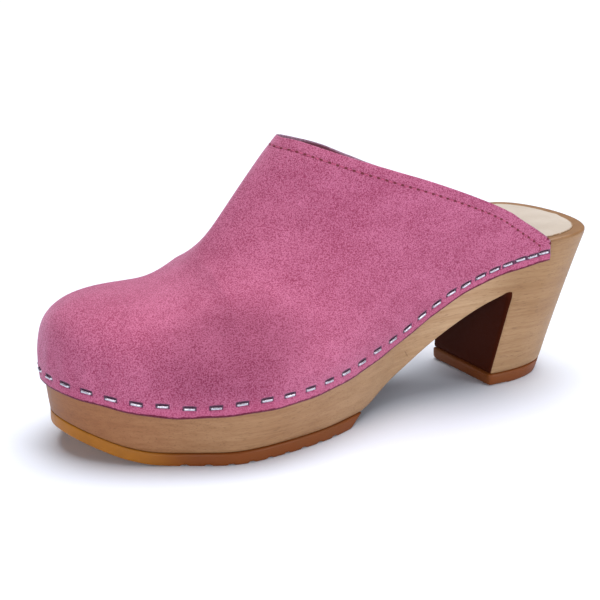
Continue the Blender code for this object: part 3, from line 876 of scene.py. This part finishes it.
def ribGrid(turns, side, offset, sink, steps):
    share = ribShare(turns)
    base = rimMoved(turns * side, offset)
    along = np.clip(share / upper["fanStart"], 0.0, 1.0)
    spineX = upper["peakX"] + (upper["fanX"] - upper["peakX"]) * along
    spine = np.stack([spineX, np.full(len(turns), upper["spineY"])], -1)
    planPower = ribPlan(share)
    heightPower = ribHeight(share)
    if side < 0.0:
        nearCollar = 1.0 - blend(0.0, upper["innerFullnessEnd"], share)
        heightPower = heightPower * (1.0 + (upper["innerFullness"] - 1.0) * nearCollar)
    reach = base[:, :2] - spine
    out = reach / np.linalg.norm(reach, axis=1, keepdims=True)
    forward = np.stack([out[:, 1] * side, -out[:, 0] * side], -1)
    bow = 4.0 * upper["collarBow"] * (1.0 - blend(0.0, upper["bowEnd"], share))
    back = upper["throatRound"] * (1.0 - blend(upper["throatFull"], upper["throatEnd"], share))
    angle = np.linspace(0.0, math.pi / 2.0, steps + 1)[:, None]
    level = np.cos(angle)
    level[-1] = 0.0
    inward = level ** (2.0 / planPower)
    upward = np.sin(angle) ** (2.0 / heightPower)
    inward = inward * (1.0 - upper["toeLean"] * blend(upper["toeLeanStart"], 1.0, share) * upward)
    lengthwise = (np.hypot(inward, back) - back) / (np.hypot(1.0, back) - back)
    swept = np.stack([lengthwise, inward], -1)
    plan = spine + reach * swept + forward * bow[:, None] * swept * (1.0 - swept)
    at = np.maximum(plan[..., 0], spine[:, 0])
    slope = spineHeight(at + 0.5) - spineHeight(at - 0.5)
    top = spineHeight(at) - sink * np.sqrt(1.0 + slope ** 2)
    height = base[:, 2] + (top - base[:, 2]) * upward
    return np.concatenate([plan, height[..., None]], -1)


def evenRows(grid, rows):  # the same ribs with evenly spaced points
    run = lengthsAlong(grid)
    even = np.empty((rows,) + grid.shape[1:])
    for k in range(grid.shape[1]):
        even[:, k] = readAt(grid[:, k], run[:, k], np.linspace(0.0, run[-1, k], rows))
    return even


def lapGrid(turns, side, offset, waver):
    drops = np.linspace(1.0, 0.0, upper["lapRows"], endpoint=False)
    rows = []
    for part in drops:
        drop = part * (upper["lap"] + waver * part ** 3)
        row = sideAt(turns * side, shareBelowRim(turns * side, drop))
        row[:, :2] += outwardAt(turns * side) * offset
        rows.append(row)
    return np.array(rows)


def staplePath(side, offset):  # line of the bars from just past the toe to the rear corner
    turns = np.linspace(math.pi + 0.1, turnAt(last["rearCorner"]), fineSteps)
    path = sideAt(turns * side, shareBelowRim(turns * side, staples["drop"]))
    out = outwardAt(turns * side)
    path[:, :2] += out * offset
    run = lengthsAlong(path)
    return path, out, run - np.interp(-math.pi, -turns, run), turns


def stapleMarks(forefoot, rear, end):  # distances from the toe
    even = staples["pitch"] * (np.arange(forefoot + 1) + 0.5)
    share = np.arange(1, rear + 1) / rear
    closer = share + staples["taper"] * share * (1.0 - share)
    return np.concatenate([even, even[-1] + (end - staples["end"] - even[-1]) * closer])


stapleOffset = gap + upper["wall"] + gap + staples["thickness"] / 2.0  # where the row is measured


def trimCollar(half, rows):  # moves the collar's edge along the rows, fading out into the vamp
    rise = lengthsAlong(half[:, 0])
    rise = rise - rise[upper["lapRows"]]
    trim = steadyThrough(rows)(rise / rise[-1])
    run = lengthsAlong(half.swapaxes(0, 1)).T
    fade = upper["trimFade"]
    for k, cut in enumerate(trim):
        line = half[k].copy()
        want = np.where(run[k] < fade, cut + run[k] * (1.0 - cut / fade), run[k])
        behind = np.minimum(want, 0.0)[:, None]  # a cut below zero adds leather
        forward = (line[2] - line[0]) / np.linalg.norm(line[2] - line[0])
        half[k] = readAt(line, run[k], want) + behind * forward


def upperSkin(turns, offset, sink, waver):
    halves = []
    for side, rows in zip(bothSides, upper["sideTrims"]):
        ribs = evenRows(ribGrid(turns, side, offset, sink, upper["ribSteps"]), upper["ribRows"])
        halves.append(np.concatenate([lapGrid(turns, side, offset, waver[side]), ribs]))
        trimCollar(halves[-1], upper["rearTrim"] + rows + upper["peakTrim"])
    return np.concatenate([halves[0], halves[1][:, -2::-1]], axis=1)


def skinNormals(skin):  # square to the skin, equal on both sides of the spine
    normal = np.cross(np.gradient(skin, axis=0), np.gradient(skin, axis=1))
    normal /= np.maximum(np.linalg.norm(normal, axis=-1, keepdims=True), 1e-9)
    count = upper["columns"]
    fan = ribShare(upperTurns) >= upper["fanStart"]
    top = normal[-2, :count] + normal[-2, :count - 2:-1]
    top[fan] = top[fan].sum(axis=0)
    top /= np.linalg.norm(top, axis=-1, keepdims=True)
    normal[-1, :count] = top
    normal[-1, count - 1:] = top[::-1]
    return normal


def evenTurns(count):  # evenly spaced along the rim
    fine = np.linspace(turnAt(last["rearCorner"]), math.pi, 4000)
    run = lengthsAlong(rimAt(fine))
    return np.interp(np.linspace(0.0, run[-1], count), run, fine)


upperTurns = evenTurns(upper["columns"])


def rowRuns():  # distance of every column from the toe, and of every staple, along the staples' line
    runs = []
    marks = []
    lifts = []
    for side, (forefoot, rear) in zip(bothSides, staples["rows"]):
        _, _, run, turns = staplePath(side, stapleOffset)
        runs.append(np.interp(-upperTurns, -turns, run))
        marks.append(stapleMarks(forefoot, rear, run[-1]))
        lifts.append(handSet(len(marks[-1]))[0])
    columns = np.concatenate([runs[0], -runs[1][-2::-1]])
    return columns, np.concatenate([marks[0], -marks[1]]), np.concatenate(lifts)


def handSet(count):  # how far each bar sits off its line, and how far it is turned
    draw = np.random.default_rng(staples["seed"])
    lift = draw.uniform(-1.0, 1.0, count) * staples["stray"]
    turn = draw.uniform(-1.0, 1.0, count) * math.radians(staples["strayTurn"])
    return lift, turn


def collarDistance(skin):  # from the cut edge that runs up one side, over the instep and down the other
    edge = np.concatenate([skin[:, 0], skin[-2::-1, -1]])
    along = edge[1:] - edge[:-1]
    distance = np.full(skin.shape[:2], farOff)
    for columns in (slice(0, upper["seamColumns"]), slice(-upper["seamColumns"], None)):
        points = skin[:, columns].reshape(-1, 1, 3)
        share = ((points - edge[:-1]) * along).sum(-1) / np.maximum((along * along).sum(-1), 1e-9)
        nearest = edge[:-1] + np.clip(share, 0.0, 1.0)[..., None] * along
        away = np.linalg.norm(points - nearest, axis=-1).min(axis=1)
        distance[:, columns] = away.reshape(skin.shape[0], -1)
    return distance


def lineDistance(points, start, end):
    along = end - start
    share = np.clip(((points - start) @ along) / (along @ along), 0.0, 1.0)
    return np.linalg.norm(points - start - share[..., None] * along, axis=-1)


def hump(x, middle, half):  # 1 at the middle, fading softly to both sides
    return np.exp(-((x - middle) / half) ** 2)


def dressSkin(skin, normal):  # presses slots and the seam into the skin, and adds pleats and creases
    run, stapleRuns, lifts = rowRuns()
    rise = lengthsAlong(skin)
    rise = rise - rise[upper["lapRows"]]
    away = np.abs(run[:, None] - stapleRuns[None, :])
    nearest = np.min(away, axis=1)
    up = rise + staples["drop"] - lifts[np.argmin(away, axis=1)]
    slotLength = np.exp(-(nearest / staples["slotHalfLength"]) ** 6)
    slotWidth = np.exp(-(up / staples["slotHalfWidth"]) ** 4)
    fromEdge = collarDistance(skin)
    seam = hump(fromEdge, stitches["inset"], stitches["grooveHalfWidth"])
    move = -staples["slotDepth"] * slotLength[None, :] * slotWidth - stitches["grooveDepth"] * seam
    between = 1.0 - hump(nearest, 0.0, upper["puffReach"])
    move += upper["puff"] * hump(rise, upper["puffRise"], upper["puffHalf"]) * between[None, :]
    toeward = 1.0 - blend(*upper["puckerFade"], np.abs(run))
    pleats = toeward * np.cos(2.0 * math.pi * run / staples["pitch"])
    move -= upper["pucker"] * pleats[None, :] * hump(rise, upper["puckerRise"], upper["puckerHalf"])
    sides = np.where(np.arange(skin.shape[1]) < upper["columns"], 1.0, -1.0)
    calm = blend(0.0, upper["calmSpine"], rise[-1][None, :] - rise)
    for x0, z0, x1, z1, side, half, depth in upper["creases"]:
        away = lineDistance(skin[..., [0, 2]], np.array([x0, z0]), np.array([x1, z1]))
        away = np.where((sides == side)[None, :], away, farOff)
        move -= depth * hump(away, 0.0, half) * calm
    marks = np.stack([nearest + np.zeros_like(rise), fromEdge, rise - rise[0], np.abs(up)], -1)
    return skin + normal * move[..., None], marks


def edgeStrip(first, second, beyond, fade):  # rounded cut edge between the outer and the inner skin
    rows = []
    for share in (0.0, 0.25, 0.5, 0.75, 1.0):
        bulge = upper["edgeBulge"] * math.sin(math.pi * share) * fade[:, None]
        rows.append(first * (1.0 - share) + second * share + beyond * bulge)
    return np.array(rows)


def suedeFinish():
    finish = Finish("raspberrySuede", Roughness=0.92, Sheen_Weight=0.36, Sheen_Roughness=0.45,
                    Sheen_Tint=(1.0, 0.72, 0.92, 1.0), Specular_IOR_Level=0.15)
    nap = finish.noise(3000.0, 2.0, 0.6)
    fleck = finish.noise(1900.0, 1.0, 0.5)
    brush = finish.noise(95.0, 4.0, 0.6, finish.stretch((0.75, 1.0, 1.2), (0.0, 0.6, 0.0)), 0.3)
    cloud = finish.noise(26.0, 3.0, 0.5)
    tone = finish.weigh((brush, 0.13), (cloud, 0.08), (nap, 0.44), (fleck, 0.45))
    colour = finish.mix(finish.spread(tone, 0.455, 0.645), upper["deep"], upper["light"])
    colour = finish.mix(finish.spread(fleck, 0.60, 0.75, 0.0, 0.6), colour, upper["speck"])
    for start, end, half, share in upper["patches"]:
        patchDarkening = finish.maths("MULTIPLY", finish.stroke(start, end, half, 30.0), share)
        colour = finish.mix(patchDarkening, colour, upper["patchDarkening"], "MULTIPLY")
    marks = finish.split("marks")  # mm from the nearest bar, the collar, the lower edge and the staples' line
    lip = finish.spread(marks["Blue"], 1.5, 6.5, 0.3, 0.0)
    colour = finish.mix(lip, colour, upper["lip"])
    # painted shadow round each bar, over the darker pressed slot
    half = staples["slotHalfLength"]
    slot = finish.maths("MULTIPLY", finish.spread(marks["Red"], half - 0.15, half + 0.15, 1.0, 0.0),
                        finish.spread(marks["Alpha"], 0.85, 1.15, 0.95, 0.0))
    colour = finish.mix(slot, colour, upper["slot"])
    # painted shade in the groove of the collar seam
    offSeam = finish.maths("ABSOLUTE", finish.maths("SUBTRACT", marks["Green"], stitches["inset"]))
    colour = finish.mix(finish.spread(offSeam, 0.2, 0.6, 0.2, 0.0), colour, upper["edge"])
    # the lower edge: a ragged dark line, partly the raw cut and partly painted shadow of the leather on the
    # wood
    fray = finish.maths("MULTIPLY", finish.noise(420.0, 2.0, 0.5), 1.1)
    ragged = finish.maths("SUBTRACT", marks["Blue"], fray)
    colour = finish.mix(finish.spread(ragged, -0.1, 0.35, 0.95, 0.0), colour, upper["edge"])
    finish.paint("Base Color", colour)
    finish.bump(finish.maths("ADD", nap, fleck), 0.00035, 0.6)
    return finish.material


def liningFinish():
    finish = Finish("darkLining", Roughness=0.85, Sheen_Weight=0.2)
    grain = finish.noise(800.0, 4.0, 0.6)
    cloud = finish.noise(50.0, 4.0, 0.6)
    colour = finish.mix(finish.spread(cloud, 0.3, 0.7), upper["lining"], upper["liningPale"])
    colour = finish.mix(finish.spread(grain, 0.5, 0.8, 0.0, 0.4), colour, upper["liningGrain"])
    finish.paint("Base Color", colour)
    finish.bump(grain, 0.00025, 0.5)
    return finish.material


def cutFinish(name, dark, pale):
    return twoToneFinish(name, dark, pale, 0.9, (1100.0, 4.0, 0.7), (0.0003, 0.6))


def makeUpper():
    waver = {}
    long, short = upper["waverLengths"]
    for side in bothSides:
        _, _, run, turns = staplePath(side, stapleOffset)
        at = np.interp(-upperTurns, -turns, run)
        waver[side] = upper["edgeWaver"] * (np.sin(at / long + 0.4) * 0.6 + np.sin(at / short + side) * 0.4)
        waver[side] *= blend(0.0, upper["waverToe"], at)
        waver[side] += upper["lapEnd"] * blend(*upper["lapEndFade"], at[0] - at)
    outer = upperSkin(upperTurns, gap + upper["wall"], 0.0, waver)
    inner = upperSkin(upperTurns, gap, upper["wall"], waver)
    normal = skinNormals(outer)
    outer, marks = dressSkin(outer, normal)
    grids = [(outer, 0), (inner, 1)]
    painted = [marks.reshape(-1, 4), np.zeros((inner[..., 0].size, 4))]
    count = np.arange(outer.shape[1])
    fade = np.clip(np.minimum(count, count[::-1]) / upper["edgeFade"], 0.0, 1.0)
    down = outer[0] - outer[1]
    strips = [edgeStrip(outer[0], inner[0], down / np.linalg.norm(down, axis=1, keepdims=True), fade)]
    fade = np.clip(np.arange(outer.shape[0]) / upper["edgeFade"], 0.0, 1.0)
    for first, second in ((0, 2), (-1, -3)):
        beyond = outer[:, first] - outer[:, second]
        beyond /= np.linalg.norm(beyond, axis=1, keepdims=True)
        strips.append(edgeStrip(outer[:, first], inner[:, first], beyond, fade))
    for strip, number in zip(strips, (3, 2, 2)):
        grids.append((strip, number))
        painted.append(np.zeros((strip[..., 0].size, 4)))
    collarEdge = cutFinish("collarEdge", upper["cutDark"], upper["cut"])
    bottomEdge = cutFinish("lowerEdge", upper["edge"], upper["speck"])
    materials = [suedeFinish(), liningFinish(), collarEdge, bottomEdge]
    piece = makePiece("suedeUpper", grids, materials, np.concatenate(painted))
    return piece, outer, normal


suedeUpper, outerSkin, outerNormal = makeUpper()
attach(suedeUpper, "root")
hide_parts("upper")
print("upper", len(suedeUpper.data.polygons))


# What repeats is placed by nodes on points that carry their own two directions
def pointObject(name, places, along, out):
    mesh = bpy.data.meshes.new(name)
    mesh.from_pydata(toFrame(places).tolist(), [], [])
    for label, vectors in (("along", along), ("out", out)):
        layer = mesh.attributes.new(label, "FLOAT_VECTOR", "POINT")
        layer.data.foreach_set("vector", np.asarray(vectors, np.float32).ravel())
    piece = bpy.data.objects.new(name, mesh)
    bpy.context.collection.objects.link(piece)
    return piece


class Nodes:  # a small builder for a geometry tree
    def __init__(self, name, inputs):
        self.tree = bpy.data.node_groups.new(name, "GeometryNodeTree")
        face = self.tree.interface
        face.new_socket("Geometry", in_out="INPUT", socket_type="NodeSocketGeometry")
        self.sockets = {}
        for label, kind in inputs:
            self.sockets[label] = face.new_socket(label, in_out="INPUT", socket_type=kind).identifier
        face.new_socket("Geometry", in_out="OUTPUT", socket_type="NodeSocketGeometry")
        self.input = self.tree.nodes.new("NodeGroupInput").outputs
        self.output = self.tree.nodes.new("NodeGroupOutput").inputs

    def add(self, kind, links=None, **settings):
        node = self.tree.nodes.new(kind)
        for label, value in settings.items():
            setattr(node, label, value)
        for label, value in (links or {}).items():
            if isinstance(value, bpy.types.NodeSocket):
                self.tree.links.new(value, node.inputs[label])
            else:
                node.inputs[label].default_value = value
        return node.outputs

    def maths(self, kind, first, second=0.0):
        return self.add("ShaderNodeMath", {0: first, 1: second}, operation=kind)[0]

    def place(self, shape, material):  # one copy at each point, turned along its row
        along = self.add("GeometryNodeInputNamedAttribute", {"Name": "along"}, data_type="FLOAT_VECTOR")[0]
        out = self.add("GeometryNodeInputNamedAttribute", {"Name": "out"}, data_type="FLOAT_VECTOR")[0]
        turn = self.add("FunctionNodeAxesToRotation", {"Primary Axis": along, "Secondary Axis": out},
                        primary_axis="X", secondary_axis="Z")[0]
        copies = self.add("GeometryNodeInstanceOnPoints",
                          {"Points": self.input["Geometry"], "Instance": shape, "Rotation": turn})[0]
        real = self.add("GeometryNodeRealizeInstances", {0: copies})[0]
        smooth = self.add("GeometryNodeSetShadeSmooth", {"Geometry": real})[0]
        done = self.add("GeometryNodeSetMaterial", {"Geometry": smooth, "Material": material})[0]
        self.tree.links.new(done, self.output[0])


def plainMesh(piece, nodes, values):
    modifier = piece.modifiers.new("row", "NODES")
    modifier.node_group = nodes.tree
    for label, value in values.items():
        modifier[nodes.sockets[label]] = value
    solid = bpy.data.meshes.new_from_object(piece.evaluated_get(bpy.context.evaluated_depsgraph_get()))
    piece.modifiers.clear()
    solid.materials.clear()
    solid.materials.append(values["Material"])
    solid.polygons.foreach_set("material_index", [0] * len(solid.polygons))
    piece.data = solid
    return piece


def barTree():  # a flattened wire whose two ends turn down into the leather
    nodes = Nodes("stapleTree", (("Length", "NodeSocketFloat"), ("Width", "NodeSocketFloat"),
                                 ("Thickness", "NodeSocketFloat"), ("Dip", "NodeSocketFloat"),
                                 ("Material", "NodeSocketMaterial")))
    wire = nodes.add("GeometryNodeMeshCylinder", {"Vertices": 12, "Side Segments": 14, "Radius": 0.5,
                                                  "Depth": nodes.input["Length"]})[0]
    place = nodes.add("ShaderNodeSeparateXYZ", {0: nodes.add("GeometryNodeInputPosition")[0]})
    half = nodes.maths("MULTIPLY", nodes.input["Length"], 0.5)
    away = nodes.maths("ABSOLUTE", place["Z"])
    bend = nodes.add("ShaderNodeMapRange", {"Value": away, "From Min": nodes.maths("MULTIPLY", half, 0.8),
                                            "From Max": half}, interpolation_type="SMOOTHSTEP")[0]
    drop = nodes.maths("MULTIPLY", bend, nodes.input["Dip"])
    flat = {}
    for axis, size in (("X", "Width"), ("Y", "Thickness")):  # the round wire pressed towards a square
        full = nodes.maths("ABSOLUTE", nodes.maths("MULTIPLY", place[axis], 2.0))
        pressed = nodes.maths("MULTIPLY", nodes.maths("SIGN", place[axis]), nodes.maths("POWER", full, 0.6))
        flat[size] = nodes.maths("MULTIPLY", nodes.maths("MULTIPLY", pressed, 0.5), nodes.input[size])
    high = nodes.maths("SUBTRACT", flat["Thickness"], drop)
    moved = nodes.add("ShaderNodeCombineXYZ", {"X": place["Z"], "Y": flat["Width"], "Z": high})[0]
    bar = nodes.add("GeometryNodeSetPosition", {"Geometry": wire, "Position": moved})[0]
    nodes.place(bar, nodes.input["Material"])
    return nodes


def grainTree(name):  # a rice-grain shape for threads and needle holes
    nodes = Nodes(name, (("Length", "NodeSocketFloat"), ("Width", "NodeSocketFloat"),
                         ("Thickness", "NodeSocketFloat"), ("Material", "NodeSocketMaterial")))
    ball = nodes.add("GeometryNodeMeshUVSphere", {"Segments": 10, "Rings": 6, "Radius": 0.5})[0]
    size = nodes.add("ShaderNodeCombineXYZ", {"X": nodes.input["Length"], "Y": nodes.input["Width"],
                                              "Z": nodes.input["Thickness"]})[0]
    grain = nodes.add("GeometryNodeTransform", {"Geometry": ball, "Scale": size})[0]
    nodes.place(grain, nodes.input["Material"])
    return nodes


def steelFinish():
    finish = Finish("stapleSteel", Metallic=1.0, Roughness=0.28)
    scuff = finish.noise(700.0, 4.0, 0.6, finish.stretch((1.0, 3.0, 3.0)))
    colour = finish.mix(finish.spread(scuff, 0.4, 0.7), staples["steel"], staples["steelDark"])
    finish.paint("Base Color", colour)
    finish.paint("Roughness", finish.spread(scuff, 0.3, 0.7, 0.25, 0.42))
    finish.bump(scuff, 0.00005, 0.4)
    return finish.material


def makeStaples():
    places = []
    along = []
    out = []
    offset = gap + upper["wall"] + staples["sit"]
    for side, (forefoot, rear) in zip(bothSides, staples["rows"]):
        _, _, measured, _ = staplePath(side, stapleOffset)
        path, square, _, _ = staplePath(side, offset)
        marks = stapleMarks(forefoot, rear, measured[-1])
        for mark, lift, turn in zip(marks, *handSet(len(marks))):
            start, end = readAt(path, measured, mark + np.array([-staples["reach"], staples["reach"]]))
            way = (end - start) / np.linalg.norm(end - start)
            face = np.append(readAt(square, measured, mark), 0.0)
            face -= way * face.dot(way)
            face /= np.linalg.norm(face)
            upward = np.cross(face, way) * side
            places.append(readAt(path, measured, mark) + upward * (lift - staples["low"]))
            along.append(way * math.cos(turn) + upward * math.sin(turn))
            out.append(face)
    piece = pointObject("stapleRow", places, along, out)
    sizes = {name.capitalize(): staples[name] * mm for name in ("length", "width", "thickness", "dip")}
    return plainMesh(piece, barTree(), {**sizes, "Material": steelFinish()})


stapleRow = makeStaples()
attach(stapleRow, "root")
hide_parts(*[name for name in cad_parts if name.startswith("staple_")])
print("staples", len(stapleRow.data.polygons))


def collarPath():  # a line on the leather, set in from the collar, over the instep from side to side
    lines = []
    for skin, normal in ((outerSkin, outerNormal), (outerSkin[:, ::-1], outerNormal[:, ::-1])):
        away = collarDistance(skin)[:, :upper["seamColumns"]]
        places = np.empty((skin.shape[0], 6))
        for k in range(skin.shape[0]):
            both = np.concatenate([skin[k], normal[k]], -1)[:upper["seamColumns"]]
            places[k] = readAt(both, away[k], stitches["inset"])
        lines.append(places)
    return np.concatenate([lines[0][:-1], lines[1][::-1]])


def rearTacks():  # the seam's last stitches, on the cut end of the leather
    places = []
    ways = []
    for column, inner in ((0, 1), (-1, -2)):
        edge = np.concatenate([outerSkin[:, column], outerNormal[:, inner]], -1)
        run = lengthsAlong(edge[:, :3])
        for height in stitches["tacks"]:
            places.append(readAt(edge, run, height))
            way = readAt(edge[:, :3], run, height + stitches["ahead"]) - places[-1][:3]
            ways.append(way / np.linalg.norm(way))
    return np.array(places), np.array(ways)


def makeStitches():
    line = collarPath()
    run = lengthsAlong(line[:, :3])
    threadMarks = np.arange(stitches["first"], run[-1] - stitches["first"], stitches["pitch"])
    holeMarks = threadMarks[:-1] + stitches["pitch"] / 2.0
    pieces = []
    for name, marks in (("collarThread", threadMarks), ("needleHoleShadeAndTacks", holeMarks)):
        look = stitches[name]
        values = readAt(line, run, marks)
        way = readAt(line[:, :3], run, marks + stitches["ahead"]) - values[:, :3]
        way /= np.linalg.norm(way, axis=1, keepdims=True)
        if name == "needleHoleShadeAndTacks":
            tacks, tackWays = rearTacks()
            values = np.concatenate([values, tacks])
            way = np.concatenate([way, tackWays])
        piece = pointObject(name, values[:, :3] + values[:, 3:] * look["proud"], way, values[:, 3:])
        sizes = {label: look[label] * mm for label in ("Length", "Width", "Thickness")}
        pale = tuple(c * stitches["paler"] for c in look["colour"])
        finish = twoToneFinish(name + "Finish", look["colour"], pale, 0.7, (2600.0, 2.0, 0.5), (0.0001, 0.5),
                               0.5)
        pieces.append(plainMesh(piece, grainTree(name + "Tree"), {**sizes, "Material": finish}))
    return pieces


for piece in makeStitches():
    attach(piece, "root")
    print(piece.name, len(piece.data.polygons))

# Floor, light and camera
studio = {
    "cameraAt": (443.7, 583.0, 258.3),
    "lookAt": (136.6, 5.0, 46.7),
    "lens": 102.3,
    "floor": (0.845, 0.885, 0.975),
    "floorHalf": 40.0,
    "ambient": 0.13,
    "skyLight": (0.90, 0.95, 1.08),
    "sunFrom": (-0.20, -0.18, 1.0),
    "sunStrength": 3.78,
    "sunAngle": 60.0,
    "lamps": (  # place, aim, size in metres, watts
        ((0.78, 0.84, 0.32), (0.0, 0.0, 0.06), 0.6, 4.6),
        ((-0.60, 0.95, 0.34), (0.0, 0.0, 0.06), 0.6, 4.8),
    ),
}


def hang(data, place, target):  # a light or the camera, turned to its target
    item = bpy.data.objects.new(data.name, data)
    item.location = place
    item.rotation_euler = (Vector(target) - item.location).to_track_quat("-Z", "Y").to_euler()
    bpy.context.collection.objects.link(item)
    return item


def makeFloor():
    half = studio["floorHalf"]
    corners = [(-half, -half, 0.0), (half, -half, 0.0), (half, half, 0.0), (-half, half, 0.0)]
    mesh = bpy.data.meshes.new("studioFloor")
    mesh.from_pydata(corners, [], [(0, 1, 2, 3)])
    finish = Finish("floorPaint", Roughness=0.9, Specular_IOR_Level=0.1)
    grain = finish.noise(300.0, 2.0)
    pale = studio["floor"]
    finish.paint("Base Color", finish.mix(grain, pale, tuple(c * 0.99 for c in pale)))
    mesh.materials.append(finish.material)
    floor = bpy.data.objects.new("studioFloor", mesh)
    bpy.context.collection.objects.link(floor)


def makeSky():
    world = bpy.data.worlds.new("studioSky")
    world.use_nodes = True
    nodes = world.node_tree.nodes
    links = world.node_tree.links
    sky = nodes["Background"]
    sky.inputs["Color"].default_value = (*studio["skyLight"], 1.0)
    sky.inputs["Strength"].default_value = studio["ambient"]
    backdrop = nodes.new("ShaderNodeBackground")  # the pale room seen beyond the floor
    backdrop.inputs["Color"].default_value = (1.0, 1.0, 1.0, 1.0)
    seen = nodes.new("ShaderNodeLightPath")
    either = nodes.new("ShaderNodeMixShader")
    links.new(seen.outputs["Is Camera Ray"], either.inputs[0])
    links.new(sky.outputs[0], either.inputs[1])
    links.new(backdrop.outputs[0], either.inputs[2])
    links.new(either.outputs[0], nodes["World Output"].inputs[0])
    bpy.context.scene.world = world


def makeStudio():
    makeFloor()
    makeSky()
    sun = bpy.data.lights.new("overheadSoftLight", "SUN")
    sun.energy = studio["sunStrength"]
    sun.angle = math.radians(studio["sunAngle"])
    hang(sun, studio["sunFrom"], (0.0, 0.0, 0.0))
    for number, (place, target, size, watts) in enumerate(studio["lamps"]):
        lamp = bpy.data.lights.new("softbox%d" % number, "AREA")
        lamp.shape = "DISK"
        lamp.size = size
        lamp.energy = watts
        hang(lamp, place, target)
    camera = bpy.data.cameras.new("photoCamera")
    camera.lens = studio["lens"]
    camera.sensor_width = 36.0
    camera.clip_start = 0.01
    bpy.context.scene.camera = hang(camera, *toFrame([studio["cameraAt"], studio["lookAt"]]))
    bpy.context.scene.view_settings.view_transform = "Standard"


makeStudio()
print("studio ready")
